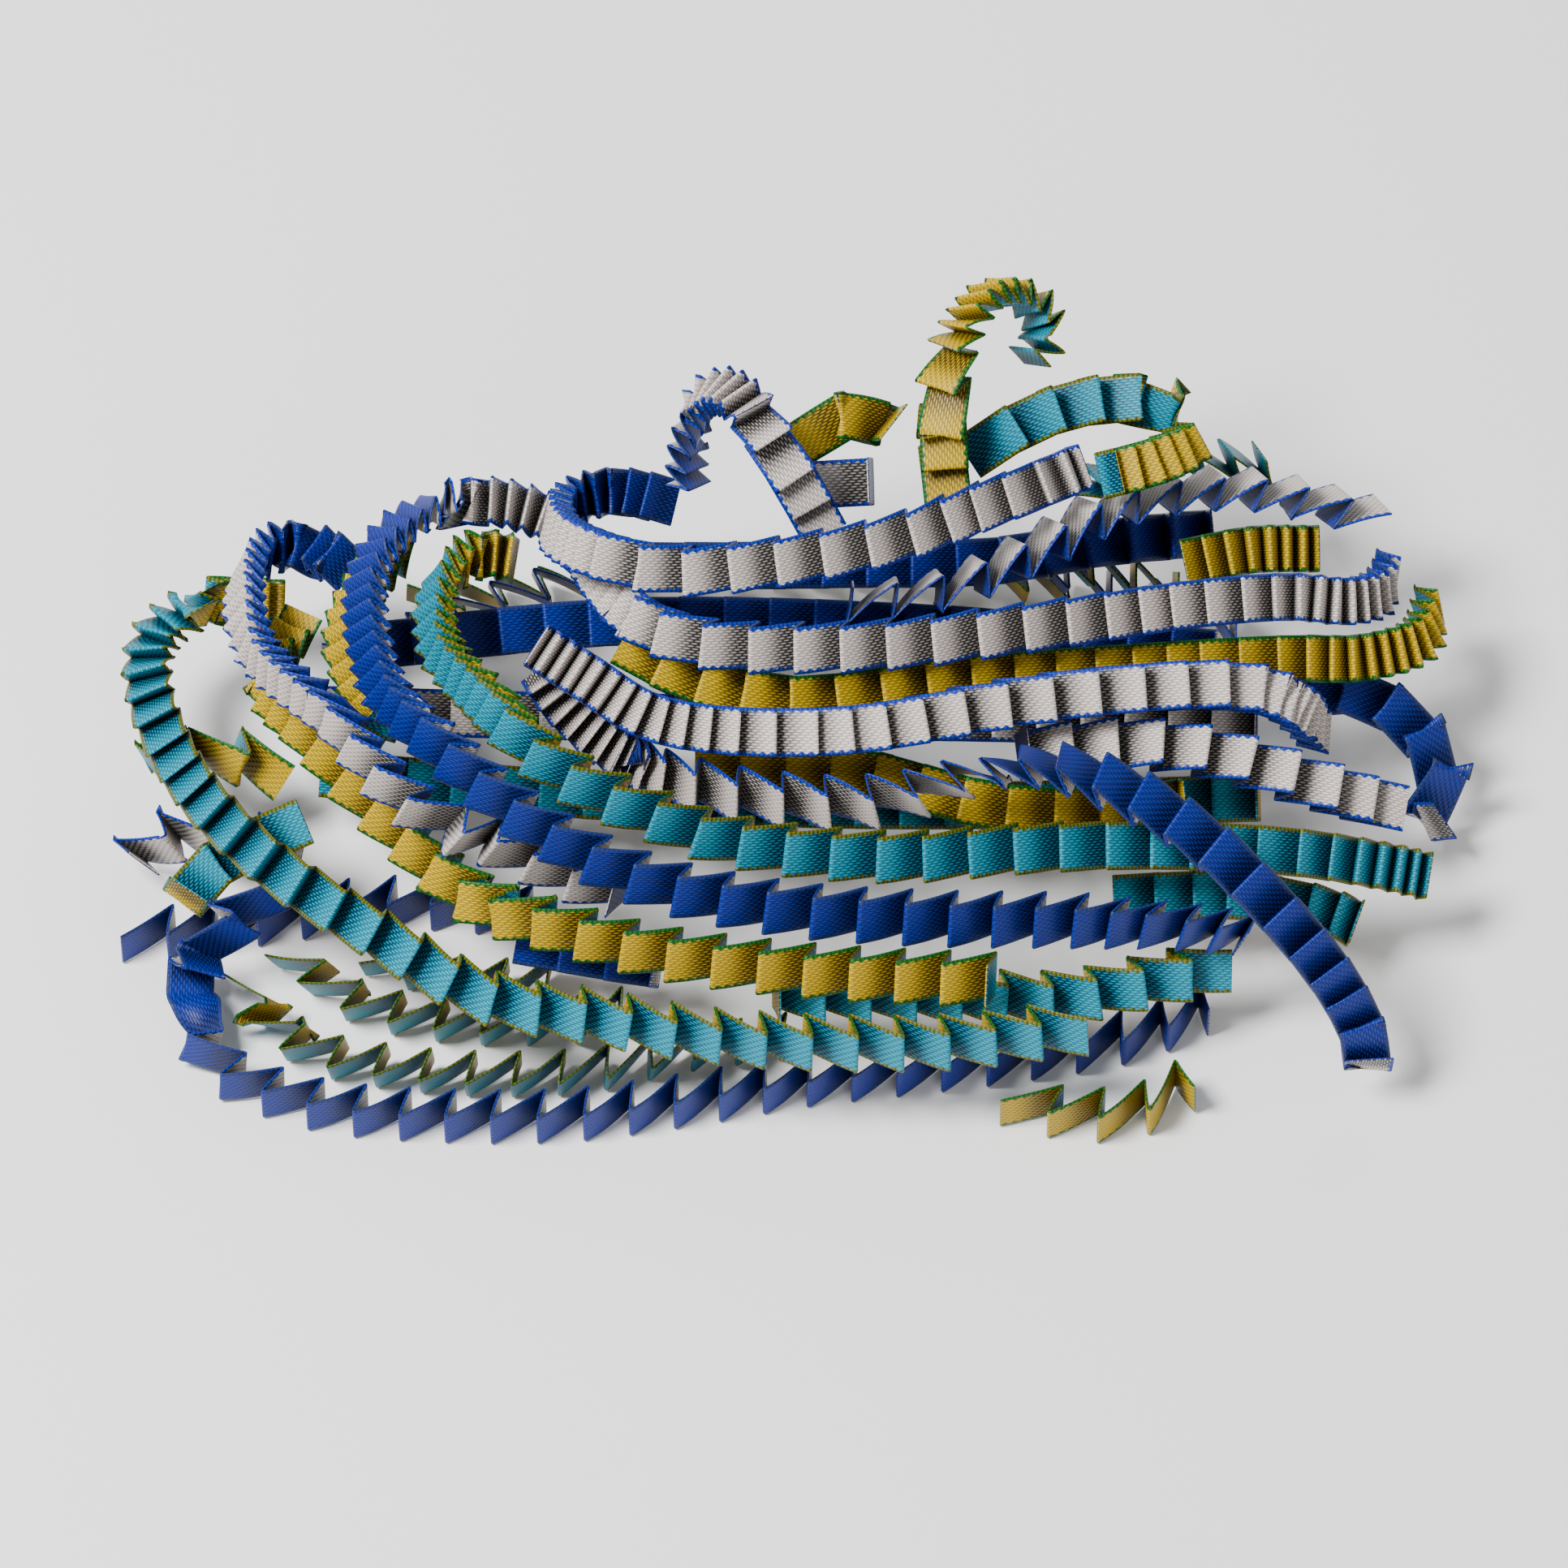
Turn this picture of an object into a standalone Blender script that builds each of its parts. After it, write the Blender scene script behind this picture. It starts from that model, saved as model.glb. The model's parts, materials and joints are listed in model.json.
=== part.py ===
"""A loose heap of knife-pleated, two-tone satin ribbon, lying on a flat surface.

Every ribbon is one woven strip, folded into knife pleats: a long leg runs from a front crease down to a back
crease, and a short leg comes back up to the next front crease, so the long legs overlap like roof tiles. The
strip is blue on one face and silver on the other, or turquoise on one face and yellow on the other.

Axes: +X across the heap, +Y from its front foot to its back, +Z up. The heap stands on z = 0.
"""
import bpy
import numpy as np
from math import acos, cos, exp, radians, sin, sqrt

# The ribbon. Metres.
RIBBON_WIDTH = 0.0060
RIBBON_THICKNESS = 0.00030
LONG_LEG = 0.0083
SHORT_LEG = 0.0048
PERIOD = 0.0056  # from one front crease to the next, along the ribbon's run
CLOSED_SHARE = 0.72  # of the period, down to which the pleats close with their legs straight
CLOSED_GAP = 0.0002  # kept past the difference of the two legs, so that a pleat never falls flat
TIGHT_SHARE = 0.42  # of the period, where the pleats are pressed together and their legs curl
TIGHT_LONG_LEG = 0.0048  # from crease to crease across a curled leg
TIGHT_SHORT_LEG = 0.0036

# Room between ribbons that lie side by side or on each other.
CLEARANCE = 0.0004
JOINT_GAP = 0.0009  # between a ribbon's held part and its loose end, at the crease where the end bends

# The heap. Its rows and its layers were laid out for these two steps, and spread when the ribbon needs more.
ROW_STEP = 0.0064
LAYER_STEP = 0.0053
LEAN = radians(35)  # the plane that the rows climb, back from the floor
CROWN_HEIGHT = 0.048
CROWN_RISE = 0.045  # the rise in which the mound gains the first two thirds of its height
HALF_LENGTH = 0.096
LEAST_SIDE = 0.2  # of the crown's height, at the mound's two ends

SAMPLE_STEP = 0.0004  # along a run, for reading its curve
MITRE_LIMIT = 0.0006

UP_THE_LEAN = np.array((0.0, cos(LEAN), sin(LEAN)))
OFF_THE_LEAN = np.array((0.0, -sin(LEAN), cos(LEAN)))
ACROSS = np.array((1.0, 0.0, 0.0))

MM = 0.001


def legs_at(share):
    """The long and the short leg where the pleats stand at this share of the period."""
    open_part = min(1.0, max(0.0, (share - TIGHT_SHARE) / (CLOSED_SHARE - TIGHT_SHARE)))
    return (TIGHT_LONG_LEG + (LONG_LEG - TIGHT_LONG_LEG) * open_part,
            TIGHT_SHORT_LEG + (SHORT_LEG - TIGHT_SHORT_LEG) * open_part)


def reach_and_period(share):
    """How far along the run a long leg reaches, and the period, from the triangle of period and legs."""
    long_leg, short_leg = legs_at(share)
    period = max(share * PERIOD, long_leg - short_leg + CLOSED_GAP)
    return (long_leg**2 - short_leg**2 + period**2) / (2 * period), period


def pleat_depth(share):
    """How deep the pleats are at this share of the period."""
    reach, _ = reach_and_period(share)
    return sqrt(legs_at(share)[0]**2 - reach**2)


PLEAT_DEPTH = pleat_depth(1.0)
SPREAD = max(
    1.0,
    (RIBBON_WIDTH + CLEARANCE) / ROW_STEP,
    (PLEAT_DEPTH + RIBBON_THICKNESS + CLEARANCE) / LAYER_STEP,
)

# A run's points are (across, rise, layer, turn, tip, period): millimetres across the heap and up its lean; the
# layer it lies in, counted from the mound's surface; where the pleats' front faces look, turned sideways and
# tipped up, in degrees from straight off the lean; and the share of the period at which the pleats stand.
# The last three may be left off, for 0, 0 and 1.
BLUE, SILVER, TURQUOISE, YELLOW = "blue", "silver", "turquoise", "yellow"
ON_EDGE = -55  # tip of a ribbon that stands on its selvedge on the floor
FLOOR = -9  # a layer so low that the run comes to rest on the floor

RIBBONS = {
    "silver_top_loop": (SILVER, [
        (-14, 80, -2.2, -170, 0, 0.45), (-22, 81.5, -2.0, -150, 0, 0.42), (-27.5, 79.5, -1.4, -95, 0, 0.42),
        (-28, 75.5, -0.2, -35, 0, 0.45), (-21.5, 72.4, 0.5, -10, -8, 0.75), (-14.7, 71, 0.4, 0, -10),
        (-3.5, 71.8, 0.5, 0, -10), (13.4, 75, 0.5, 0, -10), (23.7, 79, 0.4, 0, -10, 0.75),
        (34, 83, 0.1, 0, 0, 0.45), (37.5, 84.5, -0.2, 20, 0, 0.42)]),
    "silver_upper_run": (SILVER, [
        (-25, 73.5, -1.8, -30, 0, 0.45), (-22.3, 69.5, -1.0, -20, 0, 0.5), (-18.2, 64.5, -0.5, -10, -8, 0.7),
        (-10.2, 62, -0.3, 0, -12), (0.9, 61.5, -0.2, 0, -12), (13.4, 62, -0.1, 0, -12), (32.6, 64.5, 0, 0, -8),
        (50, 67, 0, 5, 0, 0.7), (63, 68, 0, 15, 0, 0.45), (70, 67.5, -0.2, 40, 0, 0.42),
        (74.5, 69, -0.6, 75, 0, 0.42), (75.5, 72.5, -1.0, 110, 0, 0.42)]),
    "silver_return_run": (SILVER, [
        (74, 78, -1.0, 0, 60), (67, 80, -0.8, 0, 70), (60, 81.5, -0.8, 0, 70), (50, 81.5, -0.8, 0, 70),
        (40, 79, -0.9, 0, 75), (33, 75, -0.9, 0, 75), (20, 69, -1.0, 0, 80), (5, 67, -1.2, 0, 80)]),
    "yellow_upper_run": (YELLOW, [
        (-20, 62, -1.7, 0, 0, 0.85), (-14.7, 59, -1.6), (-5.8, 56, -1.4), (0.9, 55, -1.3), (21, 57.5, -1.2),
        (48, 59.5, -1.0, 0, 0, 0.8), (63, 60.3, -0.6, 0, 0, 0.5), (72, 60.5, -0.5, 10, 0, 0.42),
        (79.5, 63, -0.6, 40, 0, 0.42), (81, 68, -1, 80, 0, 0.42)]),
    "silver_middle_run": (SILVER, [
        (66, 51, -1.4, 80, 0, 0.42), (64, 53.4, -0.5, 40, 5, 0.45), (59, 56.5, -0.1, 10, 8, 0.7),
        (43, 56.5, 0, 0, 0), (25.5, 54.4, 0, 0, -8), (7.6, 51.3, 0, 0, 0, 0.8), (-8, 51.3, 0, 0, 0, 0.5),
        (-16.9, 53, 0, 0, 0, 0.45), (-25, 58, -0.2, 0, 0, 0.42), (-32, 62.5, -0.6, 0, 0, 0.42)]),
    "blue_tail_run": (BLUE, [
        (-31, 59.5, -1.5, 0, 180, 0.42), (-27.5, 54.5, -1.5, 0, 175, 0.42), (-22, 49.5, -1.4, 0, 170, 0.5),
        (-16, 46, -1.1, 0, 160, 0.8), (-8, 43.8, -0.7, 0, 152), (5.4, 42.3, -0.3, 0, 145), (14, 43, 0, 0, 125),
        (22, 45.5, 0.4, 0, 100, 0.85), (31, 47, 0.8, 0, 65, 0.8), (40.7, 44.2, 1.1, 0, 30, 0.9),
        (51, 37.7, 1.3, 0, 10), (59.4, 29.8, 1.3), (67.3, 20.4, 0.9, 0, 0, 0.8), (71.5, 12, 0.3, 0, 0, 0.6),
        (71, 6.4, 0.1, 0, 0, 0.5)]),
    "silver_low_run": (SILVER, [
        (76, 41.5, -0.9, 50, 0, 0.75), (70, 43.4, -0.6, 25, 8, 0.8), (63, 45.5, -0.5, 5, 18),
        (53, 48.5, -0.6, 0, 18), (43, 49.7, -0.8, 0, 15), (26, 48.2, -1.1, 0, 12)]),
    "turquoise_main_run": (TURQUOISE, [
        (-33, 72.5, -2.2, -150, 0, 0.42), (-38.5, 73.5, -1.3, -100, 0, 0.42), (-43.2, 69.5, -0.5, -55, 0, 0.42),
        (-43, 61.5, -0.2, -42, -15, 0.45), (-37.5, 55.5, 0.1, -25, -24, 0.6), (-32.5, 49.8, 0.3, -12, -30, 0.85),
        (-25.5, 45, 0.3, -6, -32), (-16.5, 41, 0.2, 0, -28), (-8, 38, 0, 0, -22), (12, 35.8, 0, 0, -14),
        (30, 36.9, 0, 0, -8), (44, 37.2, 0), (62.7, 36.3, 0, 8, 0, 0.6), (74, 34.5, -0.2, 25, 0, 0.42),
        (80.4, 33, -0.5, 40, 0, 0.42)]),
    "turquoise_second_run": (TURQUOISE, [
        (40, 30.5, -1.4), (55, 31, -1.3, 0, 0, 0.8), (65, 29.5, -1.2, 10, 0, 0.5), (73, 26.5, -1.3, 25, 0, 0.42)]),
    "blue_main_run": (BLUE, [
        (-28.5, 77.4, -2.2, -170, 0, 0.42), (-35, 79.8, -1.4, -120, 0, 0.42), (-42.5, 79.8, -0.7, -75, 0, 0.42),
        (-50, 75, -0.2, -50, -8, 0.42), (-52.4, 68.6, 0.1, -40, -16, 0.42), (-49.7, 56.2, 0.1, -30, -24, 0.55),
        (-43.4, 49.9, 0.1, -22, -30, 0.8), (-32.5, 40.8, 0.1, -14, -33), (-19.1, 33.5, 0.1, -6, -30),
        (-1.3, 29.6, 0.1, 0, -26), (16.6, 28.3, 0.1, 0, -26), (37, 27.9, 0.1, 0, -35, 0.85),
        (50, 27, 0, 0, -50, 0.6), (59.4, 26, -0.2, 0, -60, 0.5)]),
    "yellow_main_run": (YELLOW, [
        (-60.5, 65, -2.2, -30, 0, 0.5), (-64, 61.5, -1.7, -30, 0, 0.5), (-65, 57, -1.4, -30, -10, 0.55),
        (-59.5, 51.2, -1.4, -20, -18, 0.8), (-54.1, 45, -1.4, -10, -24), (-45.7, 36.7, -1.4, -10, -28),
        (-39, 30.6, -1.1, -5, -28), (-30.3, 27.8, -0.3, 0, -28), (-16.9, 24.3, 0, 0, -26), (3.2, 21.8, 0.2, 0, -24),
        (28, 20.6, 0.4, 0, -20)]),
    "blue_inner_run": (BLUE, [
        (-33, 25.4, -1.55), (-22, 23.4, -1.35), (-12, 21.8, -1.4)]),
    "yellow_middle_run": (YELLOW, [
        (-11, 47, -2.15), (-4, 47, -2.0), (10, 46, -1.8), (24, 42.2, -1.4), (36, 41.2, -1.3), (50, 42.5, -1.7)]),
    "blue_back_run": (BLUE, [
        (-18, 72, -2.6), (-4, 72, -2.3), (10, 72.2, -2.3), (25, 72.5, -2.3), (40, 75, -2.3), (55, 76.5, -2.4)]),
    "yellow_return_run": (YELLOW, [
        (49, 72.2, -1.2, 0, 0, 0.5), (58, 74, -1.1, 0, 0, 0.45), (67, 74.3, -1.4, 10, 0, 0.42)]),
    "turquoise_return_run": (TURQUOISE, [
        (34, 80.5, -2.1, 0, 60, 0.82), (42, 83.5, -2.0, 0, 60, 0.82), (50, 85.2, -2.0, 0, 60, 0.82),
        (58, 85.2, -2.1, 0, 60, 0.82), (65, 84, -2.2, 0, 60, 0.82)]),
    "yellow_second_run": (YELLOW, [
        (-48, 75, -1.5, -40, 0, 0.45), (-53, 69, -1.2, -40, 0, 0.45), (-55, 63, -0.9, -35, -5, 0.5),
        (-52.5, 56.5, -1.0, -25, -10, 0.6), (-47.5, 50.5, -1.2, -20, -15, 0.8)]),
    "silver_left_run": (SILVER, [
        (-55, 71.5, -2.2, -170, 0, 0.42), (-61, 75, -1.9, -130, 0, 0.42), (-66, 73.5, -1.1, -75, 0, 0.42),
        (-67.8, 68, -0.2, -45, 0, 0.42), (-65.4, 60.5, 0.1, -38, -25, 0.45), (-57, 53.8, 0.2, -25, -40, 0.7),
        (-50.5, 46.1, 0.1, -20, -42, 0.85), (-43, 39.8, -0.2, -10, -45), (-36, 37.6, -1.0, -10, -45),
        (-28, 34, -1.4, 0, -40), (-18, 30.5, -1.5, 0, -35)]),
    "turquoise_outer_loop": (TURQUOISE, [
        (36.5, 15, 0.4, 0, -35), (21, 13.2, 0.5, 0, -35), (7.6, 13, 0.5, 0, -38), (-10.2, 14, 0.5, 0, -35),
        (-23.6, 16.3, 0.5, 0, -28), (-36.7, 18.6, 0.5, -5, -18), (-50.1, 26.2, 0.4, -5, -8), (-63.5, 34.7, 0.3, -5),
        (-74.7, 45.9, 0, -5, 0, 0.75), (-80, 57.9, -0.3, -10, 0, 0.5), (-79.1, 63.3, -0.6, -25, 0, 0.42),
        (-74, 67, -1.2, -60, 0, 0.42), (-69, 67.8, -2.2, -90, 0, 0.42), (-64, 67.5, -3.2, -120, 0, 0.42)]),
    "turquoise_front_run": (TURQUOISE, [
        (54, 22.4, -1.1, 0, -25, 0.85), (45, 20.5, -0.7, 0, -25), (33, 18.3, -0.7, 0, -25), (22, 18.6, -0.8, 0, -25),
        (8, 18.8, -0.9, 0, -25), (-5, 19, -1.0, 0, -25)]),
    "turquoise_floor_run": (TURQUOISE, [
        (-67, 21.5, FLOOR, 0, -73), (-65, 16.3, FLOOR, 0, -73), (-59, 12, FLOOR, 0, -73),
        (-48, 9.8, FLOOR, 0, -73),
        (-37, 9, FLOOR, 0, -73), (-25, 9.4, FLOOR, 0, -73), (-12, 12, FLOOR, 0, -73),
        (3, 14, FLOOR, 0, -70)]),
    "turquoise_floor_run_middle": (TURQUOISE, [
        (-62.6, 24.5, FLOOR, 0, -73), (-54, 18, FLOOR, 0, -73), (-45, 15.9, FLOOR, 0, -73),
        (-37, 15.2, FLOOR, 0, -73),
        (-28, 15.4, FLOOR, 0, -73), (-15, 18, FLOOR, 0, -73)]),
    "turquoise_floor_run_back": (TURQUOISE, [
        (-52, 23.8, FLOOR, 0, -73), (-44, 21.2, FLOOR, 0, -73), (-35, 20.3, FLOOR, 0, -73),
        (-25, 20.8, FLOOR, 0, -73)]),
    "blue_front_run": (BLUE, [
        (-64, 32, -0.9, 0, -50), (-69, 27.5, -0.6, 0, -50), (-73, 22, -0.8, 0, ON_EDGE),
        (-74.5, 16.5, FLOOR, 0, ON_EDGE),
        (-70.5, 10, FLOOR, 0, ON_EDGE), (-63, 6.6, FLOOR, 0, ON_EDGE), (-55, 4.8, FLOOR, 0, ON_EDGE),
        (-44.8, 4, FLOOR, 0, ON_EDGE), (-28.3, 3.9, FLOOR, 0, ON_EDGE), (-12.5, 5.8, FLOOR, 0, ON_EDGE),
        (1, 8, FLOOR, 0, ON_EDGE), (14.3, 9.5, FLOOR, 0, ON_EDGE), (25.5, 10.8, FLOOR, 0, ON_EDGE),
        (43, 13.7, FLOOR, 0, ON_EDGE), (55.2, 18.5, FLOOR, 0, ON_EDGE)]),
    "yellow_left_end": (YELLOW, [
        (-63, 46, -2.5, 0, -30), (-70, 48.5, -1.6, 0, -45), (-77, 48, -1.2, 0, -50), (-81, 46, -1.0, 0, -50),
        (-83.5, 42, -1.0, 0, -50)]),
    "silver_left_end": (SILVER, [
        (-60, 36, -2.0, 0, -30), (-68, 38, -1.7, 0, -45), (-76, 38.5, -1.4, 0, -50), (-81.5, 35.5, -1.5, 0, -50),
        (-84, 31, -1.6, 0, -50)]),
    "blue_left_base": (BLUE, [
        (-83, 26, FLOOR, 0, ON_EDGE), (-75, 26.5, FLOOR, 0, ON_EDGE), (-65, 28, FLOOR, 0, ON_EDGE),
        (-50, 30, FLOOR, 0, ON_EDGE), (-40, 29.5, FLOOR, 0, ON_EDGE), (-30, 28.5, FLOOR, 0, ON_EDGE)]),
    "turquoise_left_end": (TURQUOISE, [
        (-60, 40, -1.1), (-67, 37, -0.75), (-72.5, 33.5, -0.8), (-75.5, 29.5, -0.7)]),
    "yellow_top_curl": (YELLOW, [
        (20, 80, -0.9, 0, 0, 0.9), (19.3, 86, 0, 0, 0, 0.9), (18.8, 91.5, 0.8, -15, 0, 0.7),
        (19.8, 97, 1.5, -40, 0, 0.45), (22.3, 102.3, 1.9, -50, 25, 0.42), (26, 106, 1.6, -50, 75, 0.42),
        (30.5, 105, 1.1, -50, 125, 0.42), (32.3, 100.5, 0.7, -50, 180, 0.42), (29, 96.8, 0.6, -50, 235, 0.42)]),
    "turquoise_top_loop": (YELLOW, [
        (22.8, 85.5, -0.3, 180), (30.9, 90.5, 0.1, 180), (41, 93, 0.4, 170, 0, 0.8), (48.7, 92, 0.5, 130, 0, 0.5),
        (51, 88.5, 0.5, 70, 0, 0.42), (46, 85, 0.4, 15, 0, 0.5), (38, 82.8, 0.2, 0, 0, 0.55)]),
    "silver_top_curl": (SILVER, [
        (4, 77, -0.9), (1.5, 81.5, 0.2, 0, 0, 0.7), (-1.5, 86.5, 1.1, 0, 10, 0.55), (-5, 91.5, 1.3, 0, 30, 0.42),
        (-8.5, 93.5, 0.6, -60, 40, 0.42), (-11.5, 91, -0.4, -100, 0, 0.42), (-12.5, 85, -1.2, -120, 0, 0.42),
        (-12, 79.5, -1.8, -120, 0, 0.42)]),
    "silver_box_fold": (SILVER, [
        (4, 82, -1.1), (8, 82.3, -0.7), (14, 82.5, -0.7)]),
    "yellow_top_arch": (YELLOW, [
        (2, 87, -1.4, -20), (6, 90.5, -0.8), (11, 91, -0.8, 10), (14.5, 88, -1.3, 20)]),
    "blue_right_curl": (BLUE, [
        (64, 56, -2.3), (71, 56.5, -1.7), (77, 53.5, -1.4, 10), (81.5, 48.5, -1.3, 20), (82.5, 42, -1.5, 30),
        (78, 38, -1.9, 30)]),
    "yellow_right_curl": (YELLOW, [
        (27, 6, FLOOR, 0, ON_EDGE), (32, 4.6, FLOOR, 0, ON_EDGE), (38, 4, FLOOR, 0, ON_EDGE),
        (46, 5.5, FLOOR, 0, ON_EDGE), (53, 11, FLOOR, 0, ON_EDGE)]),
}

# Runs over the back of the heap and through its middle. Their third value is the height above the floor, in
# millimetres, in place of a layer.
INNER_RIBBONS = {
    "yellow_back_run": (YELLOW, [
        (-18, 72.5, 17.6, 0, 90), (10, 73.5, 18, 0, 90), (32, 73, 17, 0, 90), (54, 68, 12.5, 0, 88)]),
    "silver_back_run": (SILVER, [
        (-58, 60, 7, 0, 95), (-30, 70, 11, 0, 95), (0, 73, 11.5, 0, 95), (30, 72.5, 11, 0, 95), (62, 63, 4, 0, 95)]),
    "turquoise_back_run": (TURQUOISE, [
        (-48, 67, 3, 0, 110), (-25, 70.5, 4.6, 0, 100), (0, 72.5, 5.2, 0, 100), (25, 71.5, 4.6, 0, 100),
        (39, 69, 3, 0, 110)]),
    "turquoise_inner_run": (TURQUOISE, [
        (-58, 46, 8.5), (-20, 43, 12), (20, 42, 12), (60, 43, 8.5)]),
    "silver_inner_run": (SILVER, [
        (-58, 54, 15), (-20, 53, 19.5), (20, 53, 19.5), (60, 52, 13)]),
    "blue_hollow_run": (BLUE, [
        (-52, 62, 18), (-20, 65, 23.5), (20, 64, 23.5), (55, 61, 17)]),
}

# Loose ends: the share of the ribbon's run where the end bends, at the crease nearest to it.
LOOSE_ENDS = {
    "blue_tail_run": ("blue_tail", 0.65),
    "yellow_top_curl": ("yellow_top_curl_tip", 0.3),
    "silver_top_curl": ("silver_top_curl_tip", 0.28),
    "turquoise_top_loop": ("turquoise_top_loop_tip", 0.35),
    "blue_right_curl": ("blue_right_curl_tip", 0.5),
    "yellow_right_curl": ("yellow_right_curl_tip", 0.45),
    "yellow_left_end": ("yellow_left_tip", 0.55),
    "silver_left_end": ("silver_left_tip", 0.55),
}

FINISHES = {
    BLUE: (0.014, 0.05, 0.34),
    SILVER: (0.58, 0.54, 0.50),
    TURQUOISE: (0.025, 0.45, 0.55),
    YELLOW: (0.58, 0.48, 0.05),
}


def crown(across, rise):
    side = max(LEAST_SIDE, sqrt(max(0.0, 1 - (across / HALF_LENGTH) ** 2)))
    return CROWN_HEIGHT * (1 - exp(-max(rise, 0.0) / CROWN_RISE)) * side


def placed(point, heights):
    """A route's point in metres, before the heap spreads, and the look of its front faces as two angles."""
    across, rise, level, turn, tip, period = tuple(point) + (0, 0, 0, 0, 0, 1)[len(point):]
    across, rise = across * MM, rise * MM
    height = level * MM if heights else crown(across, rise) + level * LAYER_STEP
    back = (rise - height * sin(LEAN)) / cos(LEAN)
    return (across, back, height, radians(turn), radians(tip), period)


def smooth_run(points):
    """Points close together on a centripetal Catmull-Rom curve through the route's own points."""
    points = np.array(points)
    ends = (2 * points[0] - points[1], 2 * points[-1] - points[-2])
    points = np.vstack([ends[0], points, ends[1]])
    found = []
    for a, b, c, d in zip(points, points[1:], points[2:], points[3:]):
        t1 = np.linalg.norm((b - a)[:3]) ** 0.5
        t2 = t1 + np.linalg.norm((c - b)[:3]) ** 0.5
        t3 = t2 + np.linalg.norm((d - c)[:3]) ** 0.5
        count = max(2, int(np.linalg.norm((c - b)[:3]) / SAMPLE_STEP))
        for t in np.linspace(t1, t2, count, endpoint=False):
            ab = (a * (t1 - t) + b * t) / t1
            bc = (b * (t2 - t) + c * (t - t1)) / (t2 - t1)
            cd = (c * (t3 - t) + d * (t - t2)) / (t3 - t2)
            abc = (ab * (t2 - t) + bc * t) / t2
            bcd = (bc * (t3 - t) + cd * (t - t1)) / (t3 - t1)
            found.append((abc * (t2 - t) + bcd * (t - t1)) / (t2 - t1))
    found.append(points[-2])
    return np.array(found)


def unit(vectors):
    return vectors / np.linalg.norm(vectors, axis=-1, keepdims=True)


def framed_run(points, heights):
    """Length along a ribbon's run, centre, pleat and width directions and share of the period, at samples."""
    run = smooth_run([placed(point, heights) for point in points])
    centre, turn, tip = run[:, :3] * SPREAD, run[:, 3:4], run[:, 4:5]
    look = (OFF_THE_LEAN * np.cos(turn) * np.cos(tip) + ACROSS * np.sin(turn) * np.cos(tip)
            + UP_THE_LEAN * np.sin(tip))
    for _ in range(3):
        along = unit(np.gradient(centre, axis=0))
        front = unit(look - along * (look * along).sum(axis=1, keepdims=True))
        width = np.cross(front, along)
        # A run rests on the floor where its route would take it lower.
        half = RIBBON_WIDTH / 2 * abs(width[:, 2]) + (PLEAT_DEPTH / 2 + MITRE_LIMIT) * abs(front[:, 2])
        centre = centre.copy()
        low = np.minimum(0, centre[:, 2] - half)
        centre[:, 1] += low * sin(LEAN) / cos(LEAN)
        centre[:, 2] -= low
    steps = np.linalg.norm(np.diff(centre, axis=0), axis=1)
    return np.concatenate([[0], np.cumsum(steps)]), centre, front, width, run[:, 5]


def next_crease(start, at, curve, length, leg, backwards):
    """Where on the other side's curve this leg from a crease lands, as a length along the run."""
    apart = np.linalg.norm(curve - start, axis=1) - leg
    here = int(np.searchsorted(length, at))
    if apart[min(here, len(apart) - 1)] >= 0:
        return at  # the leg stands straight across the run
    order = range(here, 0, -1) if backwards else range(max(here, 1), len(length))
    for i in order:
        near, far = (i, i - 1) if backwards else (i - 1, i)
        if apart[near] < 0 <= apart[far]:
            share = apart[near] / (apart[near] - apart[far])
            return length[near] + share * (length[far] - length[near])
    return None


def creases_of(points, heights):
    """The fold lines of a ribbon, front and back by turns: the middle of each and its width direction."""
    length, centre, front, width, period = framed_run(points, heights)
    depth = np.array([[pleat_depth(share)] for share in period])
    sides = (centre + front * depth / 2, centre - front * depth / 2)
    middles, widths = [], []
    at, side = 0.0, 0
    while at is not None:
        start = np.array([np.interp(at, length, column) for column in sides[side].T])
        look = unit(np.array([np.interp(at, length, column) for column in front.T]))
        across = np.array([np.interp(at, length, column) for column in width.T])
        middles.append(start)
        widths.append(unit(across - look * across.dot(look)))
        stands = np.interp(at, length, period)
        reach, spacing = reach_and_period(stands)
        leads_back = side == 1 and reach > spacing
        at = next_crease(start, at, sides[1 - side], length, legs_at(stands)[side], leads_back)
        side = 1 - side
    return np.array(middles), np.array(widths)


def strip_corners(middles, widths):
    """Four corners at each crease of a strip of the ribbon's thickness, mitred at the crease."""
    legs = unit(np.diff(middles, axis=0))
    corners = []
    for i, (middle, width) in enumerate(zip(middles, widths)):
        ahead = legs[min(i, len(legs) - 1)]
        behind = legs[max(i - 1, 0)]
        outward = unit(np.cross(ahead, width))
        if 0 < i < len(middles) - 1:
            bisector = unit(ahead - behind)
            half_angle = acos(float(np.clip(bisector.dot(ahead), -1, 1)))
            offset = bisector * min(RIBBON_THICKNESS / 2 / sin(half_angle), MITRE_LIMIT)
            offset *= 1 if offset.dot(outward) > 0 else -1
        else:
            offset = outward * RIBBON_THICKNESS / 2
        half = width * RIBBON_WIDTH / 2
        corners += [middle + offset + half, middle + offset - half, middle - offset - half, middle - offset + half]
    return np.array(corners)


def satin(colour):
    material = bpy.data.materials.get(colour) or bpy.data.materials.new(colour)
    material.use_nodes = True
    shader = material.node_tree.nodes["Principled BSDF"]
    shader.inputs["Base Color"].default_value = FINISHES[colour] + (1,)
    shader.inputs["Roughness"].default_value = 0.45
    return material


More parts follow.
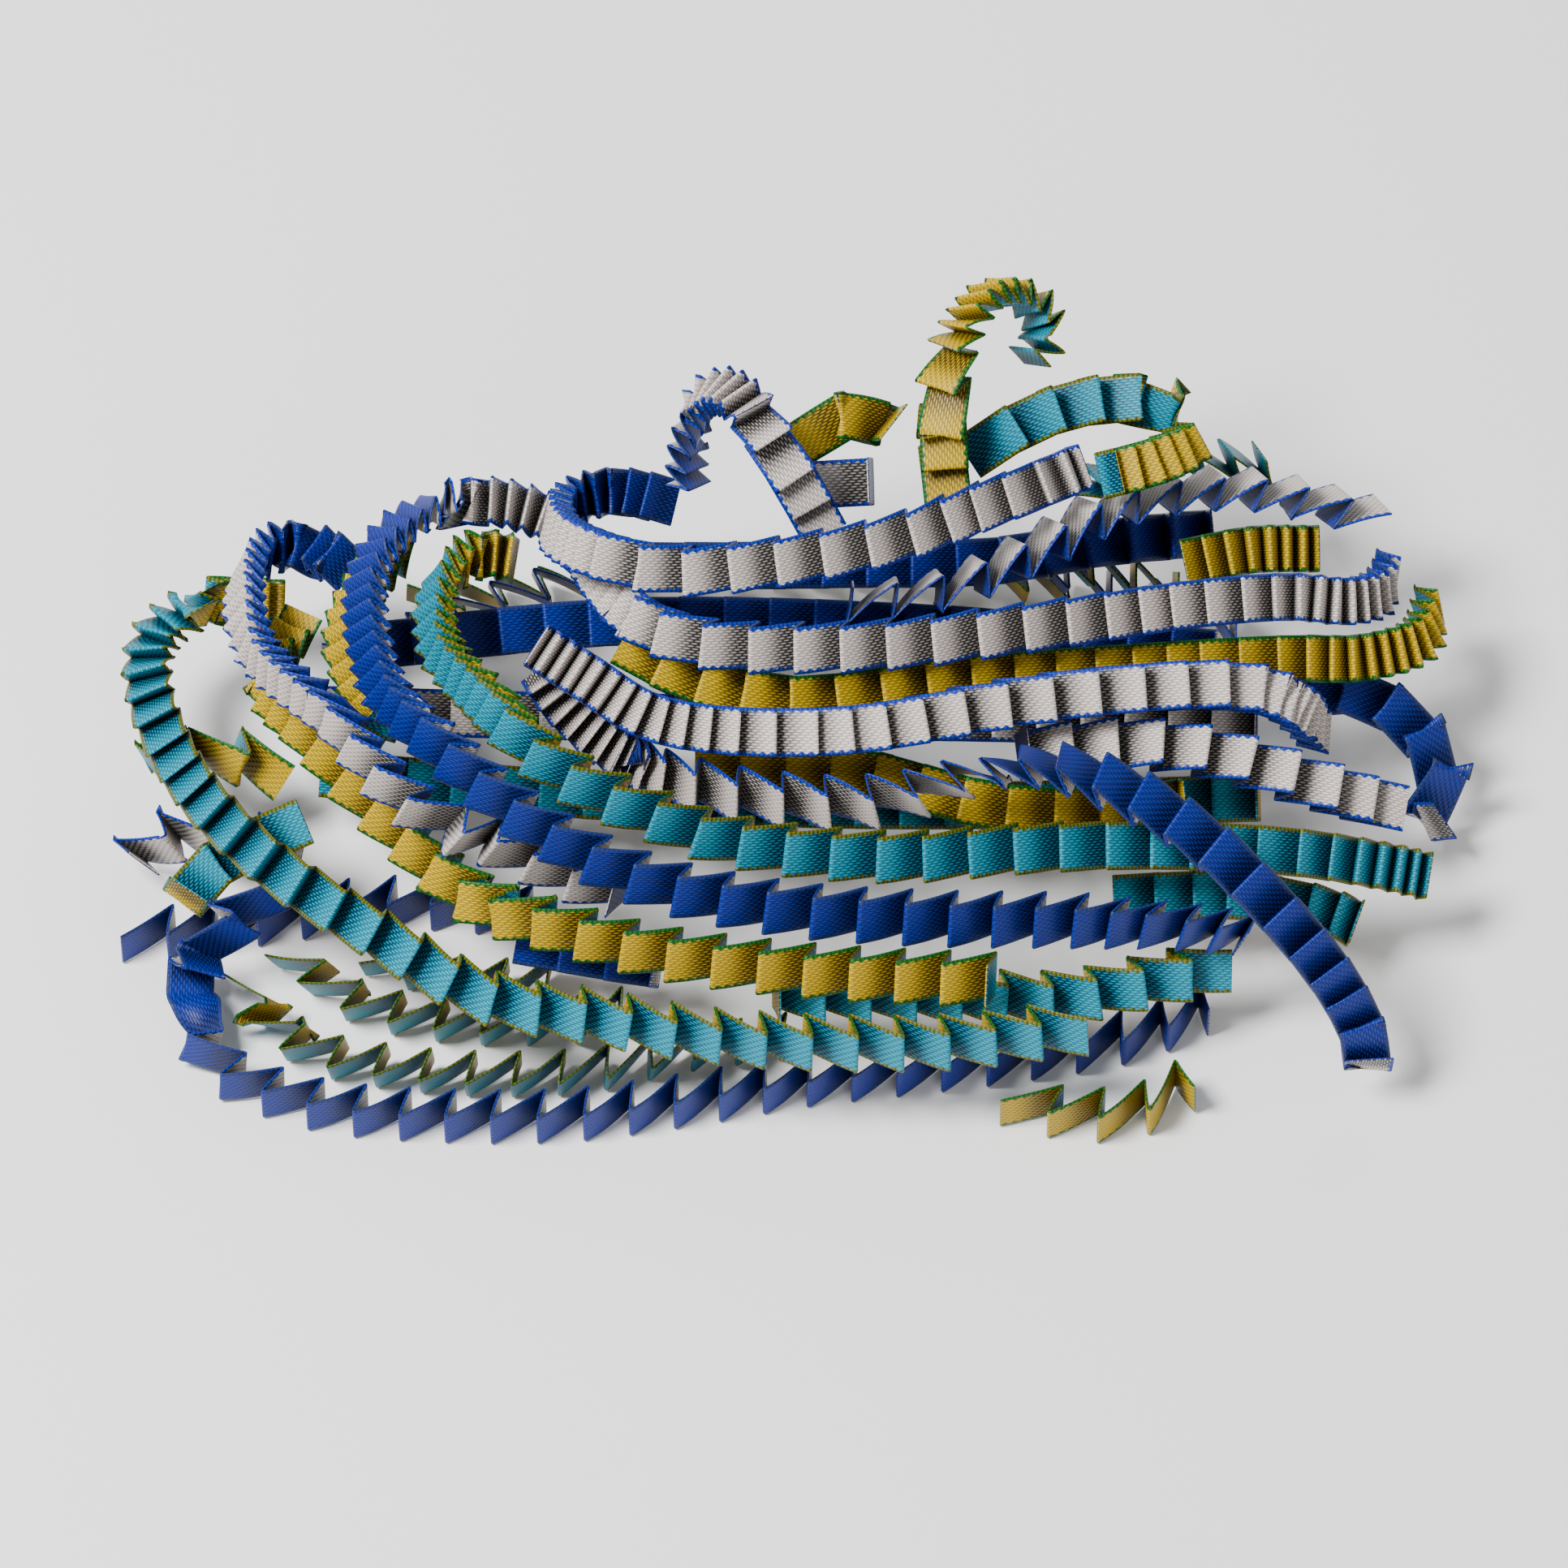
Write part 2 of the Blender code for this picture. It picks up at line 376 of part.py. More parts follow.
def add_strip(name, colour, corners, origin):
    """One closed strip through its corners, as an object with this origin."""
    last = len(corners) - 4
    faces = [(3, 2, 1, 0), (last, last + 1, last + 2, last + 3)]
    for ring in range(0, last, 4):
        ahead = ring + 4
        # Both broad sides are split on the same diagonal, so a twisted leg keeps its thickness.
        faces += [(ring, ring + 1, ahead + 1), (ring, ahead + 1, ahead)]
        faces += [(ring + 3, ahead + 2, ring + 2), (ring + 3, ahead + 3, ahead + 2)]
        faces += [(ring + 1, ring + 2, ahead + 2, ahead + 1), (ring + 3, ring, ahead, ahead + 3)]
    mesh = bpy.data.meshes.new(name)
    mesh.from_pydata([tuple(corner) for corner in corners - origin], [], faces)
    mesh.update()
    mesh.materials.append(satin(colour))
    obj = bpy.data.objects.new(name, mesh)
    obj.location = origin
    bpy.context.scene.collection.objects.link(obj)


def main():
    for obj in list(bpy.data.objects):
        bpy.data.objects.remove(obj, do_unlink=True)
    strips = {}
    for routes, heights in ((RIBBONS, False), (INNER_RIBBONS, True)):
        for name, (colour, points) in routes.items():
            middles, widths = creases_of(points, heights)
            if name not in LOOSE_ENDS:
                strips[name] = (colour, strip_corners(middles, widths), None)
                continue
            tip_name, share = LOOSE_ENDS[name]
            bend = int(share * len(middles))
            held, tip = middles[: bend + 1].copy(), middles[bend:].copy()
            held[-1] += unit(held[-2] - held[-1]) * JOINT_GAP
            tip[0] += unit(tip[1] - tip[0]) * JOINT_GAP
            strips[name] = (colour, strip_corners(held, widths[: bend + 1]), None)
            strips[tip_name] = (colour, strip_corners(tip, widths[bend:]), middles[bend])
    every = np.vstack([corners for _, corners, _ in strips.values()])
    low, high = every.min(axis=0), every.max(axis=0)
    shift = np.array(((low[0] + high[0]) / 2, (low[1] + high[1]) / 2, low[2]))
    for name, (colour, corners, pivot) in strips.items():
        origin = np.zeros(3) if pivot is None else pivot - shift
        add_strip(name, colour, corners - shift, origin)


main()
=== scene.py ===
# %% [markdown]
# # A loose heap of pleated satin ribbon
#
# The object is one kind of trimming: a satin ribbon 6 mm wide, woven with one colour on each face and folded
# into knife pleats along its whole length. It lies in a heap, run beside run, with a few ends that curl out of
# it. The CAD model gives every run as a plain folded strip. This script gives each one the shape and the
# surface of real satin: rounded folds, a woven face, and selvedges in the other colour.

# %% Load the frame
import json
from math import cos, exp, pi, radians, sin, sqrt

import bpy
import numpy as np
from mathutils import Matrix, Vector


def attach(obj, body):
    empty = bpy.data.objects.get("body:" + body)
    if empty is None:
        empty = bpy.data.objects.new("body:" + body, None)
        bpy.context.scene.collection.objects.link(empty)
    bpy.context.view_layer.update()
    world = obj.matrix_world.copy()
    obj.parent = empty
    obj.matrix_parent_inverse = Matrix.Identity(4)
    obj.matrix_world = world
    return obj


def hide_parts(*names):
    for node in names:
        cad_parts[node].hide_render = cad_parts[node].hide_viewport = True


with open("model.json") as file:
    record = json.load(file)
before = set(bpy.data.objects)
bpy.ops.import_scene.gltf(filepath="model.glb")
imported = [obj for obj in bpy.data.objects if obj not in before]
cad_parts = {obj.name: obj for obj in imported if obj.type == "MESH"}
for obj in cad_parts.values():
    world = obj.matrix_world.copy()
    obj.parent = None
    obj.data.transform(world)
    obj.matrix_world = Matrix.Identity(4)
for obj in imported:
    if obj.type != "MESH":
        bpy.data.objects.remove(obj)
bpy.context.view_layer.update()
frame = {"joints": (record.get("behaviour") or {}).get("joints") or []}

# %% [markdown]
# ## The ribbon's folding
#
# A knife pleat has a long leg that runs down to a back crease, and a short leg that comes back up to the next
# front crease. Three lengths say all about it: the two legs, and the period from crease to crease. The pleats
# could be drawn by hand for each run, but a rule is shorter and keeps the legs alike, because woven satin bends
# but does not stretch. Inside a tight bend the pleats are pressed together and their legs curl, so there the
# straight distance from crease to crease is shorter.

# %% Sizes of the ribbon and of the heap, in metres
MM = 0.001
RIBBON_WIDTH = 0.0060
RIBBON_THICKNESS = 0.00030
LONG_LEG = 0.0083
SHORT_LEG = 0.0048
PERIOD = 0.0056  # from one front crease to the next, along the ribbon's run
CLOSED_SHARE = 0.72  # of the period, down to which the pleats close with their legs straight
CLOSED_GAP = 0.0002  # kept past the difference of the two legs, so that a pleat never falls flat
TIGHT_SHARE = 0.42  # of the period, where the pleats are pressed together and their legs curl
TIGHT_LONG_LEG = 0.0048  # from crease to crease across a curled leg
TIGHT_SHORT_LEG = 0.0036
CLEARANCE = 0.0004  # between ribbons that lie side by side or on each other
ROW_STEP = 0.0064  # the rows and the layers were laid out for these two steps
LAYER_STEP = 0.0053
LEAN = radians(35)  # the plane that the rows climb, back from the floor
CROWN_HEIGHT = 0.048
CROWN_RISE = 0.045  # the rise in which the mound gains nearly two thirds of its height
HALF_LENGTH = 0.096
LEAST_SIDE = 0.2  # of the crown's height, at the mound's two ends
SAMPLE_STEP = 0.0004  # along a run, for reading its curve
MITRE_LIMIT = 0.0006
SETTLING_ROUNDS = 3  # a run that is lifted onto the floor turns a little, so it is looked at again

UP_THE_LEAN = np.array((0.0, cos(LEAN), sin(LEAN)))
OFF_THE_LEAN = np.array((0.0, -sin(LEAN), cos(LEAN)))
ACROSS = np.array((1.0, 0.0, 0.0))


def legs_at(share):
    """The long and the short leg where the pleats stand at this share of the period."""
    open_part = min(1.0, max(0.0, (share - TIGHT_SHARE) / (CLOSED_SHARE - TIGHT_SHARE)))
    return (TIGHT_LONG_LEG + (LONG_LEG - TIGHT_LONG_LEG) * open_part,
            TIGHT_SHORT_LEG + (SHORT_LEG - TIGHT_SHORT_LEG) * open_part)


def reach_and_period(share):
    """How far along the run a long leg reaches, and the period, from the triangle of period and legs."""
    long_leg, short_leg = legs_at(share)
    period = max(share * PERIOD, long_leg - short_leg + CLOSED_GAP)
    return (long_leg**2 - short_leg**2 + period**2) / (2 * period), period


def pleat_depth(share):
    """How deep the pleats are at this share of the period."""
    reach, _ = reach_and_period(share)
    return sqrt(legs_at(share)[0]**2 - reach**2)


PLEAT_DEPTH = pleat_depth(1.0)
SPREAD = max(
    1.0,
    (RIBBON_WIDTH + CLEARANCE) / ROW_STEP,
    (PLEAT_DEPTH + RIBBON_THICKNESS + CLEARANCE) / LAYER_STEP,
)
print("pleat depth", round(PLEAT_DEPTH / MM, 2), "mm,", round(pleat_depth(TIGHT_SHARE) / MM, 2), "mm in a bend")

# %% [markdown]
# ## The runs
#
# Each run is a short list of points: millimetres across the heap and up its lean, and the layer that the run
# lies in, counted from the mound's surface. Two more values turn the pleats' front faces sideways and tip them
# up, in degrees, as where a run twists over at a loop. The last one is the share of the period at which the
# pleats stand, for the tight bends. The last three may be left off, for 0, 0 and 1.

# %% Route points of every run
BLUE, SILVER, TURQUOISE, YELLOW = "blue", "silver", "turquoise", "yellow"
ON_EDGE = -55  # tip of a ribbon that stands on its selvedge on the floor
FLOOR = -9  # a layer so low that the run comes to rest on the floor

RIBBONS = {
    "silver_top_loop": (SILVER, [
        (-14, 80, -2.2, -170, 0, 0.45), (-22, 81.5, -2.0, -150, 0, 0.42), (-27.5, 79.5, -1.4, -95, 0, 0.42),
        (-28, 75.5, -0.2, -35, 0, 0.45), (-21.5, 72.4, 0.5, -10, -8, 0.75), (-14.7, 71, 0.4, 0, -10),
        (-3.5, 71.8, 0.5, 0, -10), (13.4, 75, 0.5, 0, -10), (23.7, 79, 0.4, 0, -10, 0.75),
        (34, 83, 0.1, 0, 0, 0.45), (37.5, 84.5, -0.2, 20, 0, 0.42)]),
    "silver_upper_run": (SILVER, [
        (-25, 73.5, -1.8, -30, 0, 0.45), (-22.3, 69.5, -1.0, -20, 0, 0.5), (-18.2, 64.5, -0.5, -10, -8, 0.7),
        (-10.2, 62, -0.3, 0, -12), (0.9, 61.5, -0.2, 0, -12), (13.4, 62, -0.1, 0, -12), (32.6, 64.5, 0, 0, -8),
        (50, 67, 0, 5, 0, 0.7), (63, 68, 0, 15, 0, 0.45), (70, 67.5, -0.2, 40, 0, 0.42),
        (74.5, 69, -0.6, 75, 0, 0.42), (75.5, 72.5, -1.0, 110, 0, 0.42)]),
    "silver_return_run": (SILVER, [
        (74, 78, -1.0, 0, 60), (67, 80, -0.8, 0, 70), (60, 81.5, -0.8, 0, 70), (50, 81.5, -0.8, 0, 70),
        (40, 79, -0.9, 0, 75), (33, 75, -0.9, 0, 75), (20, 69, -1.0, 0, 80), (5, 67, -1.2, 0, 80)]),
    "yellow_upper_run": (YELLOW, [
        (-20, 62, -1.7, 0, 0, 0.85), (-14.7, 59, -1.6), (-5.8, 56, -1.4), (0.9, 55, -1.3), (21, 57.5, -1.2),
        (48, 59.5, -1.0, 0, 0, 0.8), (63, 60.3, -0.6, 0, 0, 0.5), (72, 60.5, -0.5, 10, 0, 0.42),
        (79.5, 63, -0.6, 40, 0, 0.42), (81, 68, -1, 80, 0, 0.42)]),
    "silver_middle_run": (SILVER, [
        (66, 51, -1.4, 80, 0, 0.42), (64, 53.4, -0.5, 40, 5, 0.45), (59, 56.5, -0.1, 10, 8, 0.7),
        (43, 56.5, 0, 0, 0), (25.5, 54.4, 0, 0, -8), (7.6, 51.3, 0, 0, 0, 0.8), (-8, 51.3, 0, 0, 0, 0.5),
        (-16.9, 53, 0, 0, 0, 0.45), (-25, 58, -0.2, 0, 0, 0.42), (-32, 62.5, -0.6, 0, 0, 0.42)]),
    "blue_tail_run": (BLUE, [
        (-31, 59.5, -1.5, 0, 180, 0.42), (-27.5, 54.5, -1.5, 0, 175, 0.42), (-22, 49.5, -1.4, 0, 170, 0.5),
        (-16, 46, -1.1, 0, 160, 0.8), (-8, 43.8, -0.7, 0, 152), (5.4, 42.3, -0.3, 0, 145), (14, 43, 0, 0, 125),
        (22, 45.5, 0.4, 0, 100, 0.85), (31, 47, 0.8, 0, 65, 0.8), (40.7, 44.2, 1.1, 0, 30, 0.9),
        (51, 37.7, 1.3, 0, 10), (59.4, 29.8, 1.3), (67.3, 20.4, 0.9, 0, 0, 0.8), (71.5, 12, 0.3, 0, 0, 0.6),
        (71, 6.4, 0.1, 0, 0, 0.5)]),
    "silver_low_run": (SILVER, [
        (76, 41.5, -0.9, 50, 0, 0.75), (70, 43.4, -0.6, 25, 8, 0.8), (63, 45.5, -0.5, 5, 18),
        (53, 48.5, -0.6, 0, 18), (43, 49.7, -0.8, 0, 15), (26, 48.2, -1.1, 0, 12)]),
    "turquoise_main_run": (TURQUOISE, [
        (-33, 72.5, -2.2, -150, 0, 0.42), (-38.5, 73.5, -1.3, -100, 0, 0.42),
        (-43.2, 69.5, -0.5, -55, 0, 0.42), (-43, 61.5, -0.2, -42, -15, 0.45), (-37.5, 55.5, 0.1, -25, -24, 0.6),
        (-32.5, 49.8, 0.3, -12, -30, 0.85), (-25.5, 45, 0.3, -6, -32), (-16.5, 41, 0.2, 0, -28),
        (-8, 38, 0, 0, -22), (12, 35.8, 0, 0, -14),
        (30, 36.9, 0, 0, -8), (44, 37.2, 0), (62.7, 36.3, 0, 8, 0, 0.6), (74, 34.5, -0.2, 25, 0, 0.42),
        (80.4, 33, -0.5, 40, 0, 0.42)]),
    "turquoise_second_run": (TURQUOISE, [
        (40, 30.5, -1.4), (55, 31, -1.3, 0, 0, 0.8), (65, 29.5, -1.2, 10, 0, 0.5),
        (73, 26.5, -1.3, 25, 0, 0.42)]),
    "blue_main_run": (BLUE, [
        (-28.5, 77.4, -2.2, -170, 0, 0.42), (-35, 79.8, -1.4, -120, 0, 0.42),
        (-42.5, 79.8, -0.7, -75, 0, 0.42), (-50, 75, -0.2, -50, -8, 0.42), (-52.4, 68.6, 0.1, -40, -16, 0.42),
        (-49.7, 56.2, 0.1, -30, -24, 0.55), (-43.4, 49.9, 0.1, -22, -30, 0.8), (-32.5, 40.8, 0.1, -14, -33),
        (-19.1, 33.5, 0.1, -6, -30),
        (-1.3, 29.6, 0.1, 0, -26), (16.6, 28.3, 0.1, 0, -26), (37, 27.9, 0.1, 0, -35, 0.85),
        (50, 27, 0, 0, -50, 0.6), (59.4, 26, -0.2, 0, -60, 0.5)]),
    "yellow_main_run": (YELLOW, [
        (-60.5, 65, -2.2, -30, 0, 0.5), (-64, 61.5, -1.7, -30, 0, 0.5), (-65, 57, -1.4, -30, -10, 0.55),
        (-59.5, 51.2, -1.4, -20, -18, 0.8), (-54.1, 45, -1.4, -10, -24), (-45.7, 36.7, -1.4, -10, -28),
        (-39, 30.6, -1.1, -5, -28), (-30.3, 27.8, -0.3, 0, -28), (-16.9, 24.3, 0, 0, -26),
        (3.2, 21.8, 0.2, 0, -24), (28, 20.6, 0.4, 0, -20)]),
    "blue_inner_run": (BLUE, [
        (-33, 25.4, -1.55), (-22, 23.4, -1.35), (-12, 21.8, -1.4)]),
    "yellow_middle_run": (YELLOW, [
        (-11, 47, -2.15), (-4, 47, -2.0), (10, 46, -1.8), (24, 42.2, -1.4), (36, 41.2, -1.3),
        (50, 42.5, -1.7)]),
    "blue_back_run": (BLUE, [
        (-18, 72, -2.6), (-4, 72, -2.3), (10, 72.2, -2.3), (25, 72.5, -2.3), (40, 75, -2.3),
        (55, 76.5, -2.4)]),
    "yellow_return_run": (YELLOW, [
        (49, 72.2, -1.2, 0, 0, 0.5), (58, 74, -1.1, 0, 0, 0.45), (67, 74.3, -1.4, 10, 0, 0.42)]),
    "turquoise_return_run": (TURQUOISE, [
        (34, 80.5, -2.1, 0, 60, 0.82), (42, 83.5, -2.0, 0, 60, 0.82), (50, 85.2, -2.0, 0, 60, 0.82),
        (58, 85.2, -2.1, 0, 60, 0.82), (65, 84, -2.2, 0, 60, 0.82)]),
    "yellow_second_run": (YELLOW, [
        (-48, 75, -1.5, -40, 0, 0.45), (-53, 69, -1.2, -40, 0, 0.45), (-55, 63, -0.9, -35, -5, 0.5),
        (-52.5, 56.5, -1.0, -25, -10, 0.6), (-47.5, 50.5, -1.2, -20, -15, 0.8)]),
    "silver_left_run": (SILVER, [
        (-55, 71.5, -2.2, -170, 0, 0.42), (-61, 75, -1.9, -130, 0, 0.42), (-66, 73.5, -1.1, -75, 0, 0.42),
        (-67.8, 68, -0.2, -45, 0, 0.42), (-65.4, 60.5, 0.1, -38, -25, 0.45), (-57, 53.8, 0.2, -25, -40, 0.7),
        (-50.5, 46.1, 0.1, -20, -42, 0.85), (-43, 39.8, -0.2, -10, -45), (-36, 37.6, -1.0, -10, -45),
        (-28, 34, -1.4, 0, -40), (-18, 30.5, -1.5, 0, -35)]),
    "turquoise_outer_loop": (TURQUOISE, [
        (36.5, 15, 0.4, 0, -35), (21, 13.2, 0.5, 0, -35), (7.6, 13, 0.5, 0, -38), (-10.2, 14, 0.5, 0, -35),
        (-23.6, 16.3, 0.5, 0, -28), (-36.7, 18.6, 0.5, -5, -18), (-50.1, 26.2, 0.4, -5, -8),
        (-63.5, 34.7, 0.3, -5), (-74.7, 45.9, 0, -5, 0, 0.75), (-80, 57.9, -0.3, -10, 0, 0.5),
        (-79.1, 63.3, -0.6, -25, 0, 0.42),
        (-74, 67, -1.2, -60, 0, 0.42), (-69, 67.8, -2.2, -90, 0, 0.42), (-64, 67.5, -3.2, -120, 0, 0.42)]),
    "turquoise_front_run": (TURQUOISE, [
        (54, 22.4, -1.1, 0, -25, 0.85), (45, 20.5, -0.7, 0, -25), (33, 18.3, -0.7, 0, -25),
        (22, 18.6, -0.8, 0, -25), (8, 18.8, -0.9, 0, -25), (-5, 19, -1.0, 0, -25)]),
    "turquoise_floor_run": (TURQUOISE, [
        (-67, 21.5, FLOOR, 0, -73), (-65, 16.3, FLOOR, 0, -73), (-59, 12, FLOOR, 0, -73),
        (-48, 9.8, FLOOR, 0, -73), (-37, 9, FLOOR, 0, -73), (-25, 9.4, FLOOR, 0, -73),
        (-12, 12, FLOOR, 0, -73), (3, 14, FLOOR, 0, -70)]),
    "turquoise_floor_run_middle": (TURQUOISE, [
        (-62.6, 24.5, FLOOR, 0, -73), (-54, 18, FLOOR, 0, -73), (-45, 15.9, FLOOR, 0, -73),
        (-37, 15.2, FLOOR, 0, -73), (-28, 15.4, FLOOR, 0, -73), (-15, 18, FLOOR, 0, -73)]),
    "turquoise_floor_run_back": (TURQUOISE, [
        (-52, 23.8, FLOOR, 0, -73), (-44, 21.2, FLOOR, 0, -73), (-35, 20.3, FLOOR, 0, -73),
        (-25, 20.8, FLOOR, 0, -73)]),
    "blue_front_run": (BLUE, [
        (-64, 32, -0.9, 0, -50), (-69, 27.5, -0.6, 0, -50), (-73, 22, -0.8, 0, ON_EDGE),
        (-74.5, 16.5, FLOOR, 0, ON_EDGE), (-70.5, 10, FLOOR, 0, ON_EDGE), (-63, 6.6, FLOOR, 0, ON_EDGE),
        (-55, 4.8, FLOOR, 0, ON_EDGE),
        (-44.8, 4, FLOOR, 0, ON_EDGE), (-28.3, 3.9, FLOOR, 0, ON_EDGE), (-12.5, 5.8, FLOOR, 0, ON_EDGE),
        (1, 8, FLOOR, 0, ON_EDGE), (14.3, 9.5, FLOOR, 0, ON_EDGE), (25.5, 10.8, FLOOR, 0, ON_EDGE),
        (43, 13.7, FLOOR, 0, ON_EDGE), (55.2, 18.5, FLOOR, 0, ON_EDGE)]),
    "yellow_left_end": (YELLOW, [
        (-63, 46, -2.5, 0, -30), (-70, 48.5, -1.6, 0, -45), (-77, 48, -1.2, 0, -50),
        (-81, 46, -1.0, 0, -50), (-83.5, 42, -1.0, 0, -50)]),
    "silver_left_end": (SILVER, [
        (-60, 36, -2.0, 0, -30), (-68, 38, -1.7, 0, -45), (-76, 38.5, -1.4, 0, -50),
        (-81.5, 35.5, -1.5, 0, -50), (-84, 31, -1.6, 0, -50)]),
    "blue_left_base": (BLUE, [
        (-83, 26, FLOOR, 0, ON_EDGE), (-75, 26.5, FLOOR, 0, ON_EDGE), (-65, 28, FLOOR, 0, ON_EDGE),
        (-50, 30, FLOOR, 0, ON_EDGE), (-40, 29.5, FLOOR, 0, ON_EDGE), (-30, 28.5, FLOOR, 0, ON_EDGE)]),
    "turquoise_left_end": (TURQUOISE, [
        (-60, 40, -1.1), (-67, 37, -0.75), (-72.5, 33.5, -0.8), (-75.5, 29.5, -0.7)]),
    "yellow_top_curl": (YELLOW, [
        (20, 80, -0.9, 0, 0, 0.9), (19.3, 86, 0, 0, 0, 0.9), (18.8, 91.5, 0.8, -15, 0, 0.7),
        (19.8, 97, 1.5, -40, 0, 0.45), (22.3, 102.3, 1.9, -50, 25, 0.42), (26, 106, 1.6, -50, 75, 0.42),
        (30.5, 105, 1.1, -50, 125, 0.42), (32.3, 100.5, 0.7, -50, 180, 0.42),
        (29, 96.8, 0.6, -50, 235, 0.42)]),
    "turquoise_top_loop": (YELLOW, [
        (22.8, 85.5, -0.3, 180), (30.9, 90.5, 0.1, 180), (41, 93, 0.4, 170, 0, 0.8),
        (48.7, 92, 0.5, 130, 0, 0.5), (51, 88.5, 0.5, 70, 0, 0.42), (46, 85, 0.4, 15, 0, 0.5),
        (38, 82.8, 0.2, 0, 0, 0.55)]),
    "silver_top_curl": (SILVER, [
        (4, 77, -0.9), (1.5, 81.5, 0.2, 0, 0, 0.7), (-1.5, 86.5, 1.1, 0, 10, 0.55),
        (-5, 91.5, 1.3, 0, 30, 0.42), (-8.5, 93.5, 0.6, -60, 40, 0.42), (-11.5, 91, -0.4, -100, 0, 0.42),
        (-12.5, 85, -1.2, -120, 0, 0.42), (-12, 79.5, -1.8, -120, 0, 0.42)]),
    "silver_box_fold": (SILVER, [
        (4, 82, -1.1), (8, 82.3, -0.7), (14, 82.5, -0.7)]),
    "yellow_top_arch": (YELLOW, [
        (2, 87, -1.4, -20), (6, 90.5, -0.8), (11, 91, -0.8, 10), (14.5, 88, -1.3, 20)]),
    "blue_right_curl": (BLUE, [
        (64, 56, -2.3), (71, 56.5, -1.7), (77, 53.5, -1.4, 10), (81.5, 48.5, -1.3, 20),
        (82.5, 42, -1.5, 30), (78, 38, -1.9, 30)]),
    "yellow_right_curl": (YELLOW, [
        (27, 6, FLOOR, 0, ON_EDGE), (32, 4.6, FLOOR, 0, ON_EDGE), (38, 4, FLOOR, 0, ON_EDGE),
        (46, 5.5, FLOOR, 0, ON_EDGE), (53, 11, FLOOR, 0, ON_EDGE)]),
}

# Runs over the back of the heap and through its middle. Their third value is the height above the floor, in
# millimetres, in place of a layer.
INNER_RIBBONS = {
    "yellow_back_run": (YELLOW, [
        (-18, 72.5, 17.6, 0, 90), (10, 73.5, 18, 0, 90), (32, 73, 17, 0, 90), (54, 68, 12.5, 0, 88)]),
    "silver_back_run": (SILVER, [
        (-58, 60, 7, 0, 95), (-30, 70, 11, 0, 95), (0, 73, 11.5, 0, 95), (30, 72.5, 11, 0, 95),
        (62, 63, 4, 0, 95)]),
    "turquoise_back_run": (TURQUOISE, [
        (-48, 67, 3, 0, 110), (-25, 70.5, 4.6, 0, 100), (0, 72.5, 5.2, 0, 100), (25, 71.5, 4.6, 0, 100),
        (39, 69, 3, 0, 110)]),
    "turquoise_inner_run": (TURQUOISE, [
        (-58, 46, 8.5), (-20, 43, 12), (20, 42, 12), (60, 43, 8.5)]),
    "silver_inner_run": (SILVER, [
        (-58, 54, 15), (-20, 53, 19.5), (20, 53, 19.5), (60, 52, 13)]),
    "blue_hollow_run": (BLUE, [
        (-52, 62, 18), (-20, 65, 23.5), (20, 64, 23.5), (55, 61, 17)]),
}

# %% Ends that bend, and the share of the run where they do
LOOSE_ENDS = {
    "blue_tail_run": ("blue_tail", 0.65),
    "yellow_top_curl": ("yellow_top_curl_tip", 0.3),
    "silver_top_curl": ("silver_top_curl_tip", 0.28),
    "turquoise_top_loop": ("turquoise_top_loop_tip", 0.35),
    "blue_right_curl": ("blue_right_curl_tip", 0.5),
    "yellow_right_curl": ("yellow_right_curl_tip", 0.45),
    "yellow_left_end": ("yellow_left_tip", 0.55),
    "silver_left_end": ("silver_left_tip", 0.55),
}
print(len(RIBBONS) + len(INNER_RIBBONS), "ribbons,", len(LOOSE_ENDS), "with a loose end")

# %% [markdown]
# ## From route to run
#
# A smooth curve goes through the points of a run. The centripetal form of the Catmull-Rom curve is used, since
# it makes no loops where points lie close together. At each sample the run gets two directions: where the front
# of the pleats looks, and the direction of the ribbon's width.

# %% The mound, and a point in metres
def crown(across, rise):
    """The height of the mound's surface above its plane."""
    side = max(LEAST_SIDE, sqrt(max(0.0, 1 - (across / HALF_LENGTH) ** 2)))
    return CROWN_HEIGHT * (1 - exp(-max(rise, 0.0) / CROWN_RISE)) * side


def placed(point, heights):
    """A route's point in metres, before the heap spreads, and the look of its front faces as two angles."""
    across, rise, level, turn, tip, period = tuple(point) + (0, 0, 0, 0, 0, 1)[len(point):]
    across, rise = across * MM, rise * MM
    height = level * MM if heights else crown(across, rise) + level * LAYER_STEP
    back = (rise - height * sin(LEAN)) / cos(LEAN)
    return (across, back, height, radians(turn), radians(tip), period)


# %% A smooth curve through a run's points
def smooth_run(points):
    """Points close together on a centripetal Catmull-Rom curve through the route's own points."""
    points = np.array(points)
    ends = (2 * points[0] - points[1], 2 * points[-1] - points[-2])
    points = np.vstack([ends[0], points, ends[1]])
    found = []
    for a, b, c, d in zip(points, points[1:], points[2:], points[3:]):
        t1 = np.linalg.norm((b - a)[:3]) ** 0.5
        t2 = t1 + np.linalg.norm((c - b)[:3]) ** 0.5
        t3 = t2 + np.linalg.norm((d - c)[:3]) ** 0.5
        count = max(2, int(np.linalg.norm((c - b)[:3]) / SAMPLE_STEP))
        for t in np.linspace(t1, t2, count, endpoint=False):
            ab = (a * (t1 - t) + b * t) / t1
            bc = (b * (t2 - t) + c * (t - t1)) / (t2 - t1)
            cd = (c * (t3 - t) + d * (t - t2)) / (t3 - t2)
            abc = (ab * (t2 - t) + bc * t) / t2
            bcd = (bc * (t3 - t) + cd * (t - t1)) / (t3 - t1)
            found.append((abc * (t2 - t) + bcd * (t - t1)) / (t2 - t1))
    found.append(points[-2])
    return np.array(found)


# %% The run's centre and its directions
def unit(vectors):
    """The same directions, each of length one."""
    return vectors / np.linalg.norm(vectors, axis=-1, keepdims=True)


